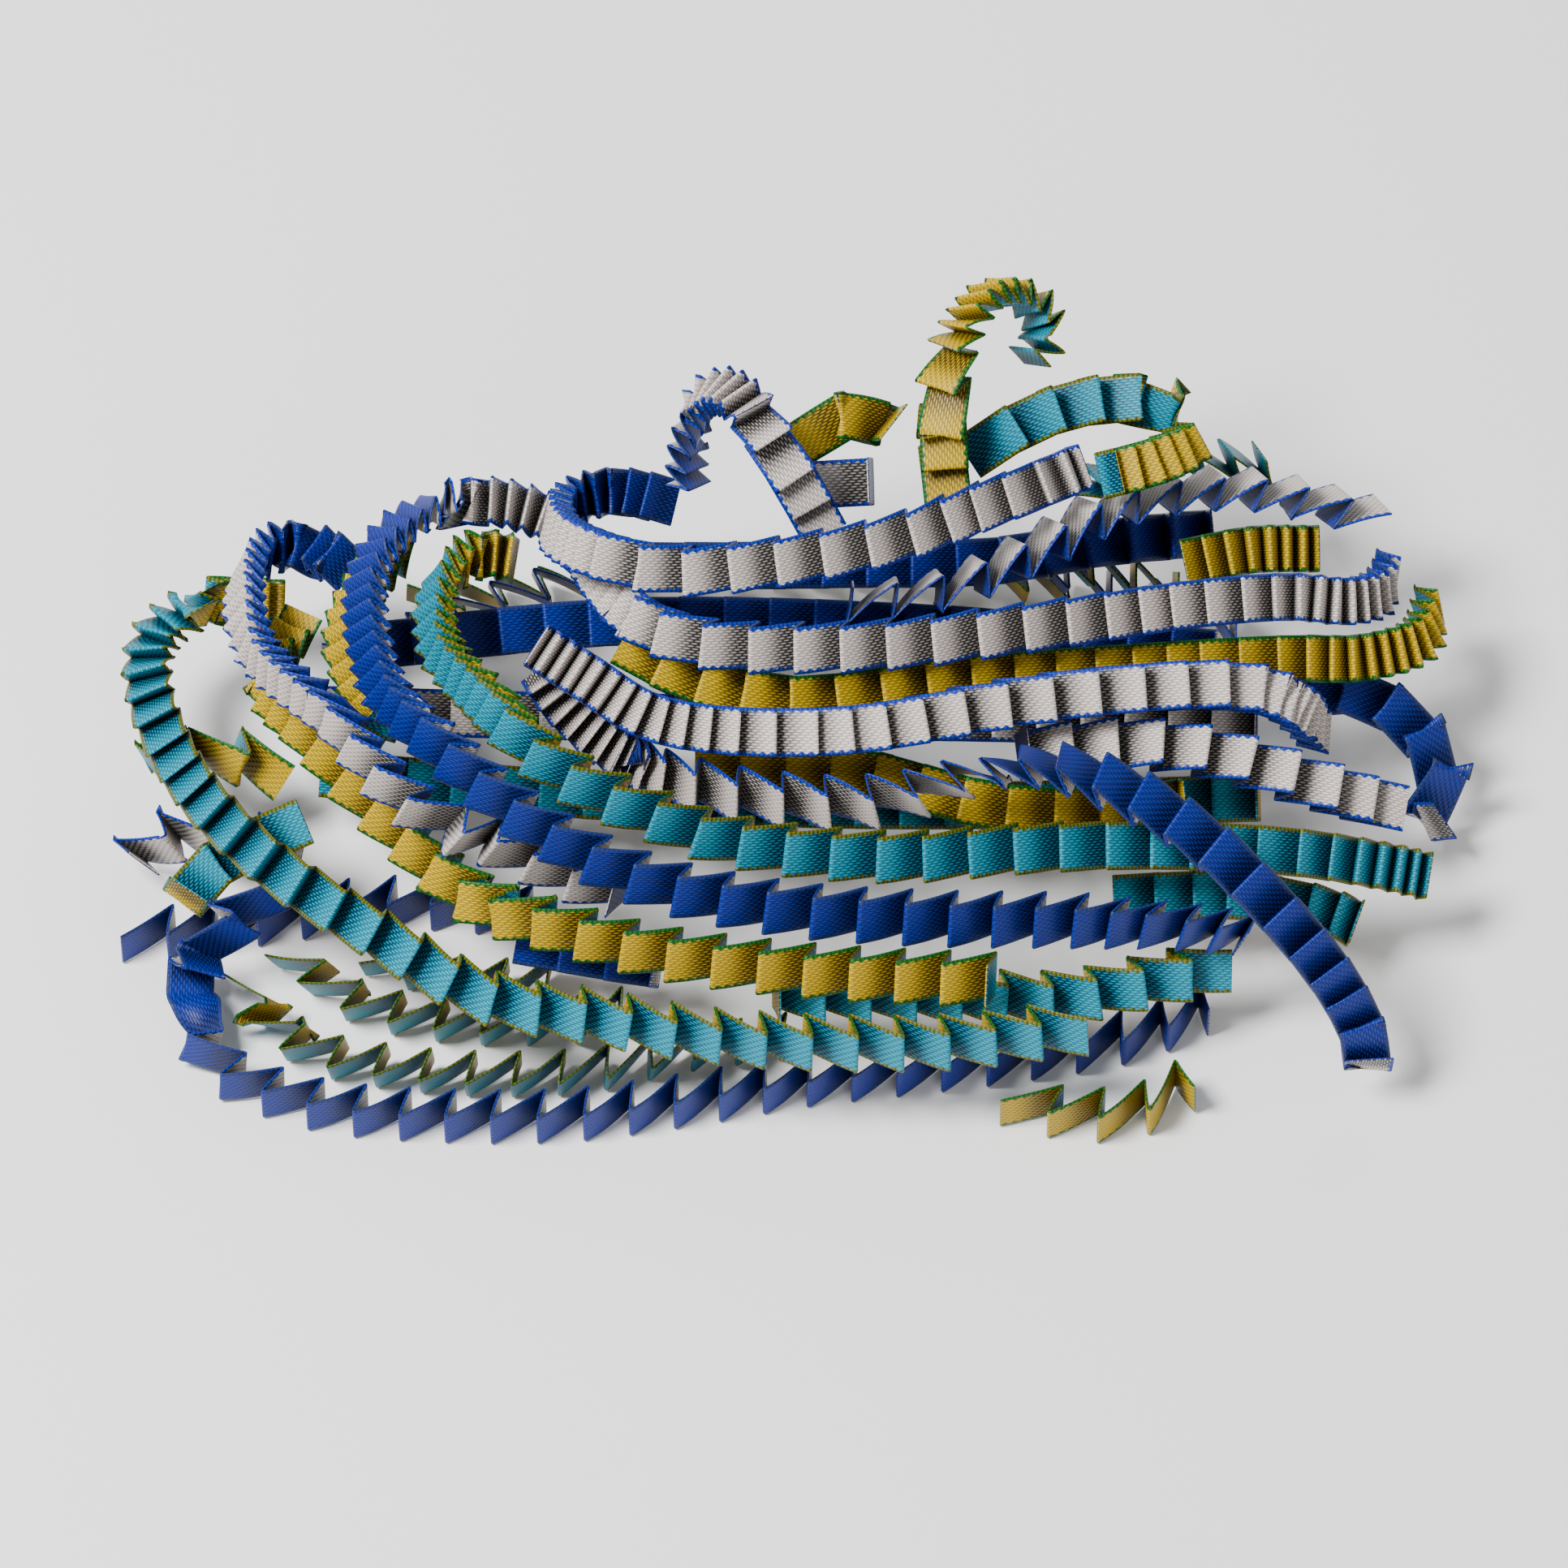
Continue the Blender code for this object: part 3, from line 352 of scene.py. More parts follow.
def framed_run(points, heights):
    """Length along a ribbon's run, centre, pleat and width directions and share of the period, at samples."""
    run = smooth_run([placed(point, heights) for point in points])
    centre, turn, tip = run[:, :3] * SPREAD, run[:, 3:4], run[:, 4:5]
    look = (OFF_THE_LEAN * np.cos(turn) * np.cos(tip) + ACROSS * np.sin(turn) * np.cos(tip)
            + UP_THE_LEAN * np.sin(tip))
    for _ in range(SETTLING_ROUNDS):
        along = unit(np.gradient(centre, axis=0))
        front = unit(look - along * (look * along).sum(axis=1, keepdims=True))
        width = np.cross(front, along)
        # A run rests on the floor where its route would take it lower.
        half = RIBBON_WIDTH / 2 * abs(width[:, 2]) + (PLEAT_DEPTH / 2 + MITRE_LIMIT) * abs(front[:, 2])
        centre = centre.copy()
        low = np.minimum(0, centre[:, 2] - half)
        centre[:, 1] += low * sin(LEAN) / cos(LEAN)
        centre[:, 2] -= low
    steps = np.linalg.norm(np.diff(centre, axis=0), axis=1)
    return np.concatenate([[0], np.cumsum(steps)]), centre, front, width, run[:, 5]


# %% [markdown]
# ## Folding the ribbon along its run
#
# The creases lie by turns on two lines, one in front of the run and one behind it. From each crease the next
# one is found by stepping to the other line until the distance is exactly one leg. On the outside of a bend the
# pleats open, and on the inside they close, as they do on the real ribbon.

# %% Walk from crease to crease
def next_crease(start, at, curve, length, leg, backwards):
    """Where on the other side's curve this leg from a crease lands, as a length along the run."""
    apart = np.linalg.norm(curve - start, axis=1) - leg
    here = int(np.searchsorted(length, at))
    if apart[min(here, len(apart) - 1)] >= 0:
        return at  # the leg stands straight across the run
    order = range(here, 0, -1) if backwards else range(max(here, 1), len(length))
    for i in order:
        near, far = (i, i - 1) if backwards else (i - 1, i)
        if apart[near] < 0 <= apart[far]:
            share = apart[near] / (apart[near] - apart[far])
            return length[near] + share * (length[far] - length[near])
    return None


def creases_of(points, heights):
    """The fold lines of a ribbon, front and back by turns: the middle of each and its width direction."""
    length, centre, front, width, period = framed_run(points, heights)
    depth = np.array([[pleat_depth(share)] for share in period])
    sides = (centre + front * depth / 2, centre - front * depth / 2)
    middles, widths = [], []
    at, side = 0.0, 0
    while at is not None:
        start = np.array([np.interp(at, length, column) for column in sides[side].T])
        look = unit(np.array([np.interp(at, length, column) for column in front.T]))
        across = np.array([np.interp(at, length, column) for column in width.T])
        middles.append(start)
        widths.append(unit(across - look * across.dot(look)))
        stands = np.interp(at, length, period)
        reach, spacing = reach_and_period(stands)
        leads_back = side == 1 and reach > spacing
        at = next_crease(start, at, sides[1 - side], length, legs_at(stands)[side], leads_back)
        side = 1 - side
    return np.array(middles), np.array(widths)


# %% Fold every ribbon
folded = {}
for routes, heights in ((RIBBONS, False), (INNER_RIBBONS, True)):
    for name, (colour, points) in routes.items():
        folded[name] = (colour, *creases_of(points, heights))
print(sum(len(middles) for _, middles, _ in folded.values()), "creases")

# %% Bring the heap to the CAD model's place
joints = {joint["name"]: joint for joint in frame["joints"]}


def bend_of(name):
    """The crease where a ribbon's loose end bends."""
    return int(LOOSE_ENDS[name][1] * len(folded[name][1]))


anchor = folded["blue_tail_run"][1][bend_of("blue_tail_run")]
shift = anchor - np.array(joints["blue_tail_bend"]["pos_m"])
print("the heap moves by", (-shift / MM).round(2), "mm")

# %% [markdown]
# ## Camera, floor and light
#
# The camera looks from the front and from well above. A long lens keeps the rows near and far at almost the
# same scale. The floor is plain and pale. One soft light hangs over the left, so the face of each pleat that
# turns up to it shines and the tucks fall into shade, and two weaker ones open the shadows.

# %% Camera
VIEW_WIDTH = 0.1932  # of the heap's leaning plane
LENS = 250.0  # millimetres, as Blender counts lens and sensor
SENSOR = 36.0
FAR_CLIP = 20
AIM_ACROSS, AIM_UP, AIM_OFF = -0.0004, 0.0449, 0.006  # the middle of the view, along the heap's own directions
aim = ACROSS * AIM_ACROSS + UP_THE_LEAN * AIM_UP + OFF_THE_LEAN * AIM_OFF - shift
distance = VIEW_WIDTH * LENS / SENSOR
camera_data = bpy.data.cameras.new("camera")
camera_data.lens = LENS
camera_data.sensor_width = SENSOR
camera_data.clip_end = FAR_CLIP
camera = bpy.data.objects.new("camera", camera_data)
bpy.context.scene.collection.objects.link(camera)
camera.location = aim + OFF_THE_LEAN * distance
camera.rotation_euler = (LEAN, 0, 0)
bpy.context.scene.camera = camera
print("camera", [round(value, 3) for value in camera.location])


# %% Floor
def plain(name, colour, roughness):
    """A plain material."""
    material = bpy.data.materials.new(name)
    material.use_nodes = True
    shader = material.node_tree.nodes["Principled BSDF"]
    shader.inputs["Base Color"].default_value = colour
    shader.inputs["Roughness"].default_value = roughness
    return material


FLOOR_REACH = 3
FLOOR_DROP = 0.0002  # room for the round of the folds that rest on the floor
corners = [(-FLOOR_REACH, -FLOOR_REACH, 0), (FLOOR_REACH, -FLOOR_REACH, 0),
           (FLOOR_REACH, FLOOR_REACH, 0), (-FLOOR_REACH, FLOOR_REACH, 0)]
floor_mesh = bpy.data.meshes.new("floor")
floor_mesh.from_pydata(corners, [], [(0, 1, 2, 3)])
floor_mesh.materials.append(plain("pale_floor", (0.9, 0.9, 0.9, 1), 0.8))
floor = bpy.data.objects.new("floor", floor_mesh)
floor.location.z = -FLOOR_DROP
bpy.context.scene.collection.objects.link(floor)
print("floor", 2 * FLOOR_REACH, "m wide")


# %% Lights
def soft_light(name, place, target, size, watts):
    """A square area light that looks at a point."""
    data = bpy.data.lights.new(name, "AREA")
    data.size = size
    data.energy = watts
    light = bpy.data.objects.new(name, data)
    light.location = place
    bpy.context.scene.collection.objects.link(light)
    light.rotation_euler = (Vector(target) - Vector(place)).to_track_quat("-Z", "Y").to_euler()


heap_middle = (0, 0, 0.02)
soft_light("key_light", (-0.45, -0.15, 0.8), heap_middle, 0.30, 17.0)
soft_light("front_light", (0.3, -0.9, 0.5), heap_middle, 0.6, 2.5)
soft_light("back_light", (0.3, 0.8, 0.6), heap_middle, 0.6, 2.5)
world = bpy.data.worlds.new("studio")
world.use_nodes = True
world.node_tree.nodes["Background"].inputs["Color"].default_value = (1, 1, 1, 1)
world.node_tree.nodes["Background"].inputs["Strength"].default_value = 0.40
bpy.context.scene.world = world
print(len(bpy.data.lights), "lights and an even sky")

# %% [markdown]
# ## Rounding the folds
#
# A crease in satin is not a sharp corner. The threads on the outside of the fold go round a radius of a few
# tenths of a millimetre, and each leg bows a little. A polyline through the creases is therefore bowed, sampled
# closely and smoothed with a bell-shaped weight, which rounds the folds and leaves the legs where they are.

# %% The rounded line of a folded ribbon
FINE_STEP = 0.00008
LEAST_SAMPLES = 8  # on a leg
FOLD_SOFTNESS = 0.00030  # the bell's width
BELL_WIDTHS = 3  # how many of them it reaches, each way
BOW = 0.00035
BOW_RANGE = (0.3, 1.2)  # of the bow, since no two legs set alike
SHORT_LEG_BOW = 0.5
NEAR_A_FOLD = 0.0012
CELL_AT_FOLD = 0.00016  # the mesh is finer at a fold than on a leg
CELL_ON_LEG = 0.00045


def smoothed(rows, reach):
    """Rows averaged along the line with a bell-shaped weight."""
    spread = int(BELL_WIDTHS * reach / FINE_STEP)
    weight = np.exp(-0.5 * (np.arange(-spread, spread + 1) * FINE_STEP / reach) ** 2)
    weight /= weight.sum()
    padded = np.vstack([
        2 * rows[0] - rows[spread:0:-1],
        rows,
        2 * rows[-1] - rows[-2:-spread - 2:-1],
    ])
    return np.column_stack([np.convolve(column, weight, "valid") for column in padded.T])


def pleat_line(middles, widths, first, seed):
    """Points on the ribbon's rounded middle line, with width direction, length along it and depth in the tuck.

    The number of the first crease tells long legs from short ones: the long legs start at even creases.
    """
    dice = np.random.default_rng(seed)
    places, across, tucks, near = [], [], [], []
    for i in range(len(middles) - 1):
        start, end = middles[i], middles[i + 1]
        leg = end - start
        count = max(LEAST_SAMPLES, int(np.linalg.norm(leg) / FINE_STEP))
        share = np.linspace(0, 1, count, endpoint=False)[:, None]
        outward = unit(np.cross(unit(leg), widths[i]))
        is_long = (i + first) % 2 == 0
        bow = BOW * dice.uniform(*BOW_RANGE) * (1 if is_long else SHORT_LEG_BOW)
        # The bow is fuller towards the crease that the leg starts from.
        places.append(start + leg * share + outward * bow * np.sin(pi * share) * (1 - 0.5 * share))
        across.append(widths[i] * (1 - share) + widths[i + 1] * share)
        tucks.append(share if is_long else 1 - share)
        near.append(np.minimum(share, 1 - share) * np.linalg.norm(leg))
    places, across = np.vstack(places), np.vstack(across)
    tucks, near = np.vstack(tucks), np.vstack(near)[:, 0]
    places = smoothed(places, FOLD_SOFTNESS)
    across = smoothed(across, FOLD_SOFTNESS)
    along = unit(np.gradient(places, axis=0))
    across = unit(across - along * (across * along).sum(axis=1, keepdims=True))
    steps = np.linalg.norm(np.diff(places, axis=0), axis=1)
    length = np.concatenate([[0], np.cumsum(steps)])
    cell = np.where(near < NEAR_A_FOLD, CELL_AT_FOLD, CELL_ON_LEG)
    kept = [0]
    for i in range(1, len(length)):
        if length[i] - length[kept[-1]] >= cell[i]:
            kept.append(i)
    return places[kept], across[kept], length[kept], tucks[kept, 0]


# %% [markdown]
# ## The ribbon as a Geometry Nodes tree
#
# The ribbon follows a path, so its body is made by a node tree: a cross-section is swept along the rounded
# line. The cross-section starts as a circle, because that gives more columns near the two edges, where the
# selvedge is. It is then pressed flat, with a bead along each edge where the weft turns round. Each point
# remembers how far across the ribbon it is and on which face, and the material reads that.

# %% Small helpers for building trees
def add(tree, kind, links=(), **settings):
    """A node with its settings, and its inputs linked or set, by name or by number."""
    node = tree.nodes.new(kind)
    for key, value in settings.items():
        setattr(node, key, value)
    for key, value in dict(links).items():
        socket = node.inputs[key]
        if isinstance(value, bpy.types.NodeSocket):
            tree.links.new(value, socket)
        else:
            socket.default_value = value
    return node


def maths(tree, operation, *values, clamp=False):
    """A Math node's output."""
    node = add(tree, "ShaderNodeMath", dict(enumerate(values)), operation=operation, use_clamp=clamp)
    return node.outputs[0]


# %% The sweeping tree
FACE_FLATNESS = 0.35  # power of the circle's height: the smaller, the flatter the face
BEAD_NARROWNESS = 8.0  # power of the place across: the larger, the closer the bead keeps to the edge


def ribbon_tree():
    """The tree that sweeps a pressed circle along a line of points."""
    tree = bpy.data.node_groups.new("sweep_ribbon", "GeometryNodeTree")
    face = tree.interface
    face.new_socket("Line", in_out="INPUT", socket_type="NodeSocketGeometry")
    for name, value in (("Width", RIBBON_WIDTH), ("Thickness", RIBBON_THICKNESS), ("Edge Bead", 0.5)):
        face.new_socket(name, in_out="INPUT", socket_type="NodeSocketFloat").default_value = value
    face.new_socket("Columns", in_out="INPUT", socket_type="NodeSocketInt").default_value = 18
    face.new_socket("Material", in_out="INPUT", socket_type="NodeSocketMaterial")
    face.new_socket("Ribbon", in_out="OUTPUT", socket_type="NodeSocketGeometry")
    given = tree.nodes.new("NodeGroupInput").outputs

    circle = add(tree, "GeometryNodeCurvePrimitiveCircle", {"Resolution": given["Columns"], "Radius": 1.0})
    place = add(tree, "ShaderNodeSeparateXYZ", {0: add(tree, "GeometryNodeInputPosition").outputs[0]})
    half_width = maths(tree, "MULTIPLY", given["Width"], 0.5)
    half_thickness = maths(tree, "MULTIPLY", given["Thickness"], 0.5)
    across = maths(tree, "MULTIPLY", place.outputs["X"], half_width)
    flat = maths(tree, "POWER", maths(tree, "ABSOLUTE", place.outputs["Y"]), FACE_FLATNESS)
    edge = maths(tree, "POWER", maths(tree, "ABSOLUTE", place.outputs["X"]), BEAD_NARROWNESS)
    bead = maths(tree, "MULTIPLY_ADD", edge, given["Edge Bead"], 1.0)
    height = maths(tree, "MULTIPLY", maths(tree, "MULTIPLY", flat, bead), half_thickness)
    signed = maths(tree, "MULTIPLY", height, maths(tree, "SIGN", place.outputs["Y"]))
    kept = circle.outputs["Curve"]
    for name, value in (("across", across), ("face", place.outputs["Y"])):
        store = add(tree, "GeometryNodeStoreNamedAttribute", {"Geometry": kept, "Name": name, "Value": value},
                    data_type="FLOAT", domain="POINT")
        kept = store.outputs[0]
    spot = add(tree, "ShaderNodeCombineXYZ", {"X": signed, "Y": across})
    section = add(tree, "GeometryNodeSetPosition", {"Geometry": kept, "Position": spot.outputs[0]})
    curve = add(tree, "GeometryNodeMeshToCurve", {"Mesh": given["Line"]})
    aside = add(tree, "GeometryNodeInputNamedAttribute", {"Name": "look"}, data_type="FLOAT_VECTOR")
    turned = add(tree, "GeometryNodeSetCurveNormal", {"Curve": curve.outputs[0], "Normal": aside.outputs[0]},
                 mode="FREE")
    swept = add(tree, "GeometryNodeCurveToMesh",
                {"Curve": turned.outputs[0], "Profile Curve": section.outputs[0], "Fill Caps": True})
    read = {name: add(tree, "GeometryNodeInputNamedAttribute", {"Name": name}, data_type="FLOAT").outputs[0]
            for name in ("along", "across")}
    pair = add(tree, "ShaderNodeCombineXYZ", {"X": read["along"], "Y": read["across"]})
    mapped = add(tree, "GeometryNodeStoreNamedAttribute",
                 {"Geometry": swept.outputs[0], "Name": "UVMap", "Value": pair.outputs[0]},
                 data_type="FLOAT2", domain="CORNER")
    smooth = add(tree, "GeometryNodeSetShadeSmooth", {"Geometry": mapped.outputs[0]})
    real = add(tree, "GeometryNodeRealizeInstances", {"Geometry": smooth.outputs[0]})
    painted = add(tree, "GeometryNodeSetMaterial", {"Geometry": real.outputs[0], "Material": given["Material"]})
    add(tree, "NodeGroupOutput", {"Ribbon": painted.outputs[0]})
    return tree


sweep_ribbon = ribbon_tree()
print(len(sweep_ribbon.nodes), "nodes in the sweeping tree")


# %% Sweep one ribbon
def identifier(tree, name):
    """The identifier of a tree's input socket."""
    return next(item.identifier for item in tree.interface.items_tree if item.name == name)


def mark(line, name, kind, field, values):
    """Stores a value for every point of a line."""
    attribute = line.attributes.new(name, kind, "POINT")
    attribute.data.foreach_set(field, values.astype(np.float32).ravel())


def swept_ribbon(name, places, across, length, tuck, material):
    """The finished mesh object of one ribbon, as plain mesh, with nothing left live."""
    line = bpy.data.meshes.new(name)
    line.from_pydata(places.tolist(), [(i, i + 1) for i in range(len(places) - 1)], [])
    along = unit(np.gradient(places, axis=0))
    mark(line, "look", "FLOAT_VECTOR", "vector", np.cross(along, across))
    mark(line, "along", "FLOAT", "value", length)
    mark(line, "tuck", "FLOAT", "value", tuck)
    obj = bpy.data.objects.new(name, line)
    bpy.context.scene.collection.objects.link(obj)
    modifier = obj.modifiers.new("sweep", "NODES")
    modifier.node_group = sweep_ribbon
    modifier[identifier(sweep_ribbon, "Material")] = material
    bpy.context.view_layer.update()
    graph = bpy.context.evaluated_depsgraph_get()
    mesh = bpy.data.meshes.new_from_object(obj.evaluated_get(graph))
    obj.modifiers.remove(modifier)
    obj.data = mesh
    mesh.name = name
    bpy.data.meshes.remove(line)
    return obj


# %% [markdown]
# ## Satin
#
# A satin face is long warp floats side by side, each held down once in every few wefts. Seen close, that is a
# field of short bright dashes with dark ends, each row a step on from the last. One node group makes that
# pattern from the ribbon's own map, in metres, and every colour of ribbon uses it. The pattern raises the
# threads as bumps, and the same mask paints a glint on each float and shade in the gaps between them.

# %% The weave group
def number_inputs(group, values):
    """Named number inputs on a group, with their first values."""
    for name, value in values:
        socket = group.interface.new_socket(name, in_out="INPUT", socket_type="NodeSocketFloat")
        socket.default_value = value
    return group.nodes.new("NodeGroupInput").outputs


def number_outputs(group, *names):
    """Named number outputs on a group."""
    for name in names:
        group.interface.new_socket(name, in_out="OUTPUT", socket_type="NodeSocketFloat")


FLOAT_SWELL = 0.6  # power of the float's swell: the smaller, the more even its brightness
THREAD_ROUNDNESS = 0.7


def weave_group():
    """The pattern of floats: the mask of painted glint and shade on the threads, and how high each thread
    stands.
    """
    group = bpy.data.node_groups.new("satin_weave", "ShaderNodeTree")
    given = number_inputs(group, (("Along", 0.0), ("Across", 0.0), ("Float Length", 0.0011),
                                  ("Row Pitch", 0.00034), ("Row Step", 0.4)))
    number_outputs(group, "Float", "Height")
    rows = maths(group, "DIVIDE", given["Across"], given["Row Pitch"])
    row = maths(group, "FLOOR", rows)
    within = maths(group, "SUBTRACT", rows, row)
    ridge = maths(group, "SINE", maths(group, "MULTIPLY", within, pi))
    floats = maths(group, "DIVIDE", given["Along"], given["Float Length"])
    moved = maths(group, "MULTIPLY_ADD", row, given["Row Step"], floats)
    turn = maths(group, "MULTIPLY", maths(group, "FRACT", moved), pi)
    swell = maths(group, "POWER", maths(group, "SINE", turn), FLOAT_SWELL)
    thread = maths(group, "MULTIPLY", ridge, swell)
    add(group, "NodeGroupOutput", {"Float": thread, "Height": maths(group, "POWER", thread, THREAD_ROUNDNESS)})
    return group


satin_weave = weave_group()
print(len(satin_weave.nodes), "nodes in the weave group")

# %% [markdown]
# ## Selvedges and painted shade in the tucks
#
# Along both edges the weft turns round in little loops, in the colour of the ribbon's other face. They reach
# into the face as a row of teeth. And each pleat's tuck is painted darker, as painted shade that grows down
# the leg from the crease that faces out. The next two groups give the two masks.

# %% The selvedge group
BAND_CRISPNESS = 12000.0  # how fast the band's mask rises at its border, per metre


def selvedge_group():
    """The masks of the selvedge: its toothed band, and the loops along it."""
    group = bpy.data.node_groups.new("selvedge_teeth", "ShaderNodeTree")
    given = number_inputs(group, (("Along", 0.0), ("Across", 0.0), ("Half Width", RIBBON_WIDTH / 2),
                                  ("Tooth Pitch", 0.00125), ("Band", 0.00030), ("Tooth Depth", 0.00036)))
    number_outputs(group, "Band", "Loop")
    inside = maths(group, "SUBTRACT", given["Half Width"], maths(group, "ABSOLUTE", given["Across"]))
    teeth = maths(group, "DIVIDE", given["Along"], given["Tooth Pitch"])
    phase = maths(group, "PINGPONG", teeth, 0.5)
    tooth = maths(group, "MULTIPLY", maths(group, "MULTIPLY", phase, 2.0), given["Tooth Depth"])
    reach = maths(group, "ADD", given["Band"], tooth)
    room = maths(group, "SUBTRACT", reach, inside)
    mask = maths(group, "MULTIPLY_ADD", room, BAND_CRISPNESS, 0.5, clamp=True)
    loops = maths(group, "SINE", maths(group, "MULTIPLY", teeth, 4 * pi))
    add(group, "NodeGroupOutput", {"Band": mask, "Loop": maths(group, "MULTIPLY_ADD", loops, 0.5, 0.5)})
    return group


# %% The group of painted shade in the tucks
def painted_shade_in_tucks_group():
    """The mask of the painted shade in the tucks, from how far down a leg a place is."""
    group = bpy.data.node_groups.new("painted_tuck_shade", "ShaderNodeTree")
    given = number_inputs(group, (("Tuck", 0.0), ("From", 0.12), ("To", 0.62)))
    number_outputs(group, "Depth")
    ramp = add(group, "ShaderNodeMapRange",
               {"Value": given["Tuck"], "From Min": given["From"], "From Max": given["To"]},
               interpolation_type="SMOOTHSTEP")
    add(group, "NodeGroupOutput", {"Depth": ramp.outputs[0]})
    return group


selvedge_teeth = selvedge_group()
painted_tuck_shade = painted_shade_in_tucks_group()
print(len(selvedge_teeth.nodes) + len(painted_tuck_shade.nodes), "nodes in the two mask groups")

# %% [markdown]
# ## The four faces
#
# Each face has a lit colour, a deep colour for the painted shade in its tucks and between its floats, a colour
# for the painted glint of its floats and one for its selvedge. The ribbon is woven two-sided, so one material
# holds two faces, and picks by the face mark that the sweep left on every point.

# %% Colours of the faces
# Per face: the lit colour, the deep colour of its painted shade, the colour of its painted glint, and the
# selvedge's edge and loop colours.
FACES = {
    BLUE: {"lit": (0.0010, 0.012, 0.215), "deep": (0.0003, 0.0015, 0.022), "glint": (0.014, 0.075, 0.62),
           "edge": (0.003, 0.014, 0.150), "loop": (0.022, 0.035, 0.09)},
    SILVER: {"lit": (0.62, 0.54, 0.50), "deep": (0.012, 0.009, 0.008), "glint": (1.0, 0.95, 0.90),
             "edge": (0.0015, 0.010, 0.15), "loop": (0.006, 0.035, 0.36)},
    TURQUOISE: {"lit": (0.0006, 0.215, 0.31), "deep": (0.0002, 0.013, 0.040), "glint": (0.015, 0.60, 0.76),
                "edge": (0.026, 0.045, 0.0015), "loop": (0.14, 0.13, 0.003)},
    YELLOW: {"lit": (0.52, 0.33, 0.0016), "deep": (0.045, 0.018, 0.0004), "glint": (0.98, 0.78, 0.020),
             "edge": (0.002, 0.045, 0.006), "loop": (0.010, 0.13, 0.010)},
}
REVERSE = {BLUE: SILVER, SILVER: BLUE, TURQUOISE: YELLOW, YELLOW: TURQUOISE}
print(len(FACES), "faces")


# %% One satin face inside a material
# How narrow the painted glint on the floats is, and how far it goes to the glint colour.
GLINT_NARROWNESS = 2.0  # power of the float's brightness
GLINT_SHARE = 0.42
# Painted shade between the floats: the share of the woven colour kept there, the rest going to the deep colour.
GAP_LIGHT = 0.45  # of the woven colour, between the floats


def colour_mix(tree, share, first, second):
    """Output of a node that mixes two colours."""
    node = tree.nodes.new("ShaderNodeMix")
    node.data_type = "RGBA"
    for socket, value in ((node.inputs["Factor"], share), (node.inputs[6], first), (node.inputs[7], second)):
        if isinstance(value, bpy.types.NodeSocket):
            tree.links.new(value, socket)
        elif isinstance(value, tuple):
            socket.default_value = (*value, 1)
        else:
            socket.default_value = value
    return node.outputs[2]


def satin_face(tree, colour, depth, thread, band, loop):
    """The colour of one face from the masks, with painted shade and painted glint."""
    dye = FACES[colour]
    # Painted shade: the lit colour darkens to the deep colour down each tuck.
    base = colour_mix(tree, depth, dye["lit"], dye["deep"])
    # Painted glint on the floats.
    strength = maths(tree, "MULTIPLY", maths(tree, "POWER", thread, GLINT_NARROWNESS), GLINT_SHARE)
    woven = colour_mix(tree, strength, base, dye["glint"])
    # Painted shade between the floats, in the deep colour.
    gap = maths(tree, "MULTIPLY_ADD", thread, 1 - GAP_LIGHT, GAP_LIGHT)
    shaded = colour_mix(tree, gap, dye["deep"], woven)
    edge = colour_mix(tree, loop, dye["edge"], dye["loop"])
    return colour_mix(tree, band, shaded, edge)


# %% The four materials
THREAD_HEIGHT = 0.00005


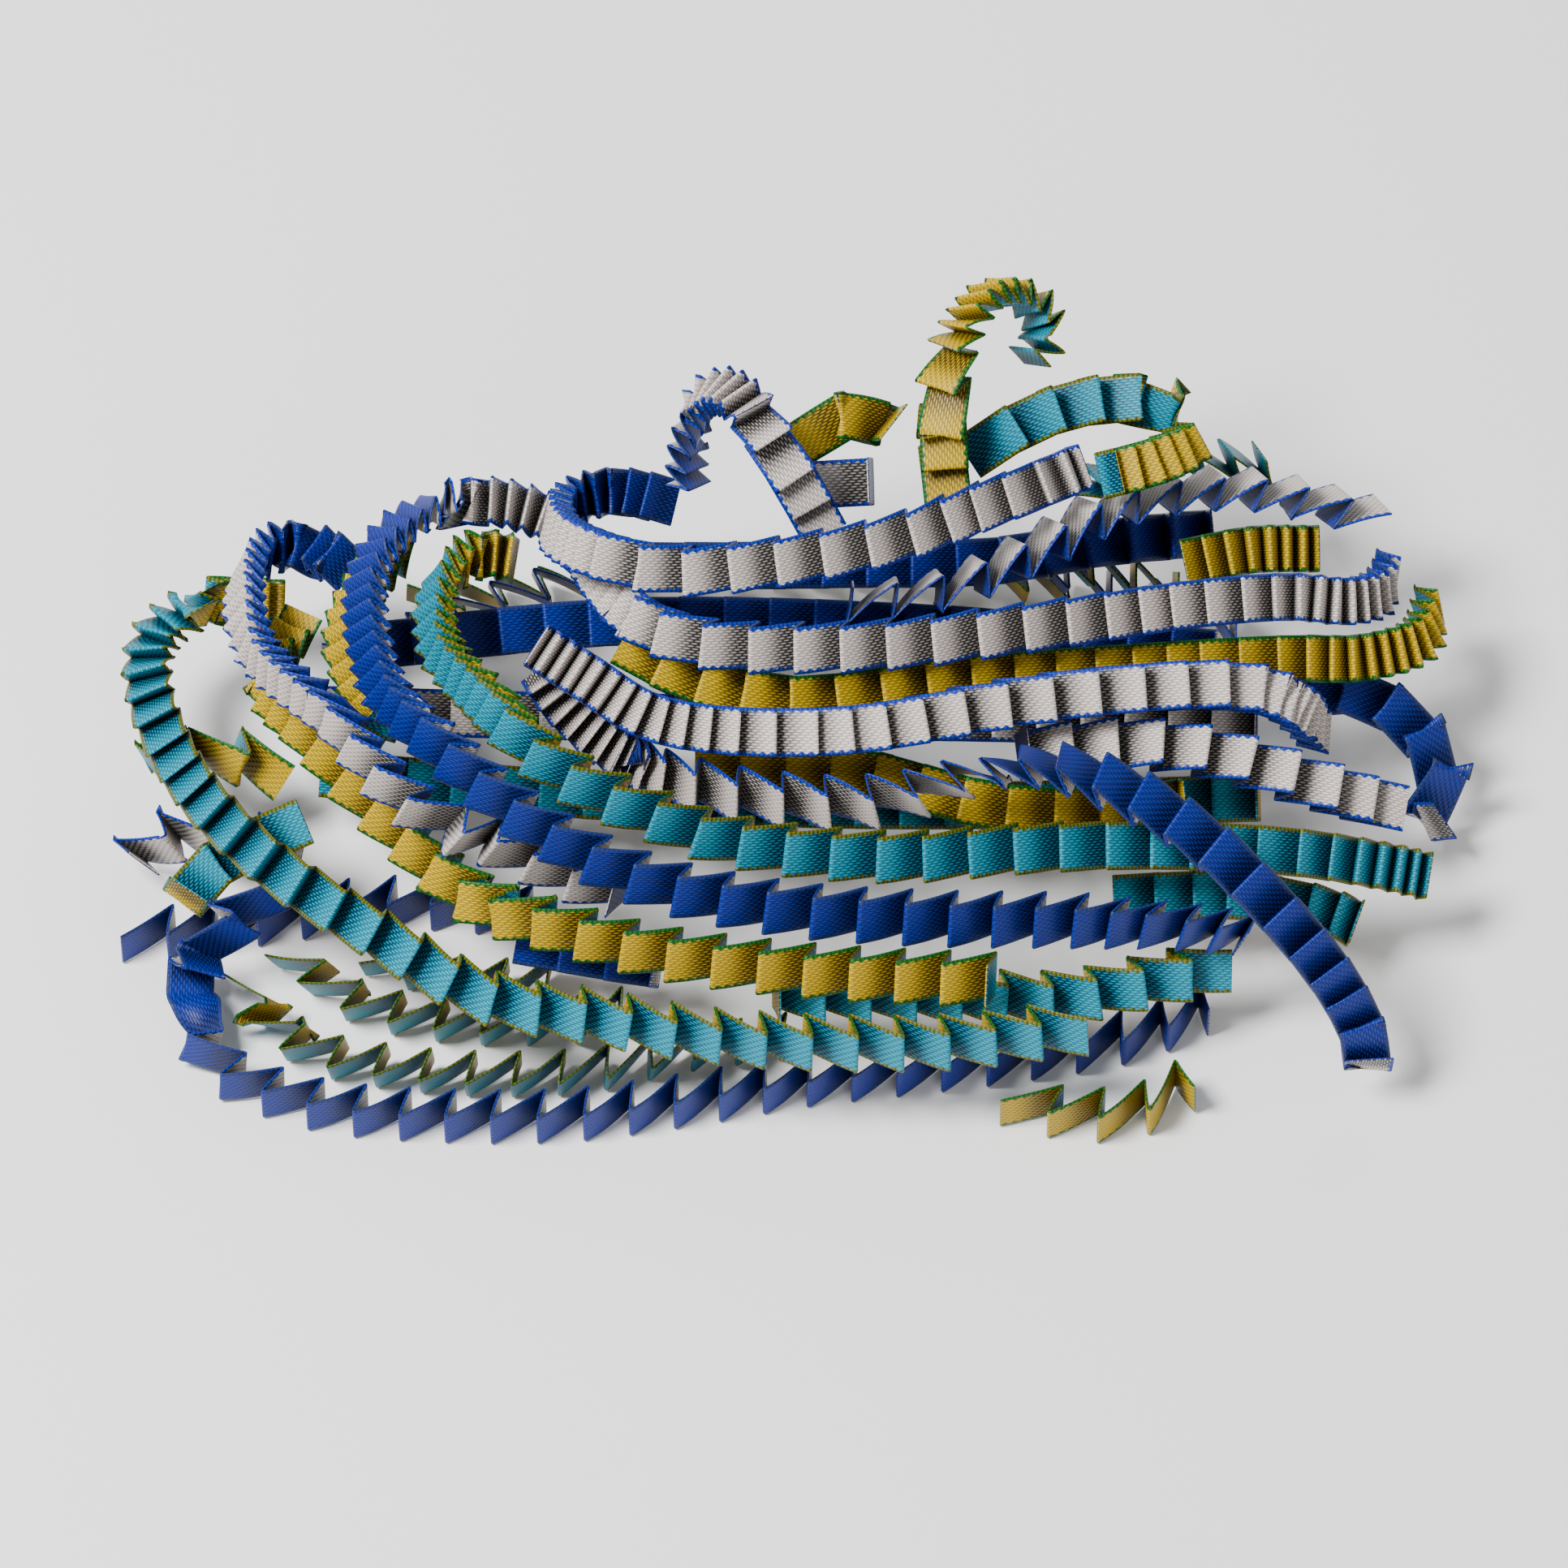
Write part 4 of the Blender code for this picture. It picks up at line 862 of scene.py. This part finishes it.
def satin(colour):
    """The material of a ribbon with this colour on its outer face, and the other of the pair inside."""
    material = bpy.data.materials.new(colour + "_satin_ribbon")
    material.use_nodes = True
    tree = material.node_tree
    shader = tree.nodes["Principled BSDF"]
    uv = add(tree, "ShaderNodeSeparateXYZ", {0: add(tree, "ShaderNodeUVMap", uv_map="UVMap").outputs[0]})
    tuck = add(tree, "ShaderNodeAttribute", attribute_name="tuck").outputs["Fac"]
    face = add(tree, "ShaderNodeAttribute", attribute_name="face").outputs["Fac"]
    weave = add(tree, "ShaderNodeGroup", node_tree=satin_weave)
    teeth = add(tree, "ShaderNodeGroup", node_tree=selvedge_teeth)
    for group in (weave, teeth):
        tree.links.new(uv.outputs["X"], group.inputs["Along"])
        tree.links.new(uv.outputs["Y"], group.inputs["Across"])
    # Painted shade in the tucks: on the outer face it grows from the front crease, on the inner face from the
    # back crease.
    front = add(tree, "ShaderNodeGroup", node_tree=painted_tuck_shade)
    tree.links.new(tuck, front.inputs["Tuck"])
    back = add(tree, "ShaderNodeGroup", node_tree=painted_tuck_shade)
    tree.links.new(maths(tree, "SUBTRACT", 1.0, tuck), back.inputs["Tuck"])
    masks = (weave.outputs["Float"], teeth.outputs["Band"], teeth.outputs["Loop"])
    outer = satin_face(tree, colour, front.outputs[0], *masks)
    inner = satin_face(tree, REVERSE[colour], back.outputs[0], *masks)
    which = maths(tree, "GREATER_THAN", face, 0.0)
    tree.links.new(colour_mix(tree, which, inner, outer), shader.inputs["Base Color"])
    bump = add(tree, "ShaderNodeBump",
               {"Height": weave.outputs["Height"], "Distance": THREAD_HEIGHT, "Strength": 0.6})
    tree.links.new(bump.outputs[0], shader.inputs["Normal"])
    shader.inputs["Roughness"].default_value = 0.42
    shader.inputs["Specular IOR Level"].default_value = 0.22
    return material


satins = {colour: satin(colour) for colour in (BLUE, SILVER, TURQUOISE, YELLOW)}
print(len(satins), "two-faced satins")

# %% [markdown]
# ## Sweeping the heap
#
# Every ribbon becomes one mesh. A ribbon with a loose end is cut at the crease where the end bends, because
# that crease is the axis of the hinge, so both halves stay joined there whatever the angle.

# %% Make all the ribbons
def finish_ribbon(name, colour, creases, first, node, body):
    """Sweeps one ribbon from its creases, and hands it to the frame. It gives back the count of triangles."""
    seed = sum(ord(letter) for letter in name)
    obj = swept_ribbon(name + "_satin", *pleat_line(*creases, first, seed), satins[colour])
    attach(obj, body)
    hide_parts(node)
    return sum(len(polygon.vertices) - 2 for polygon in obj.data.polygons)


triangles = 0
for name, (colour, middles, widths) in folded.items():
    middles = middles - shift
    if name not in LOOSE_ENDS:
        triangles += finish_ribbon(name, colour, (middles, widths), 0, name, "heap")
        continue
    tip = LOOSE_ENDS[name][0]
    bend = bend_of(name)
    held = (middles[: bend + 1], widths[: bend + 1])
    triangles += finish_ribbon(name, colour, held, 0, name, "heap")
    triangles += finish_ribbon(tip, colour, (middles[bend:], widths[bend:]), bend, tip, tip)
print(triangles, "triangles")
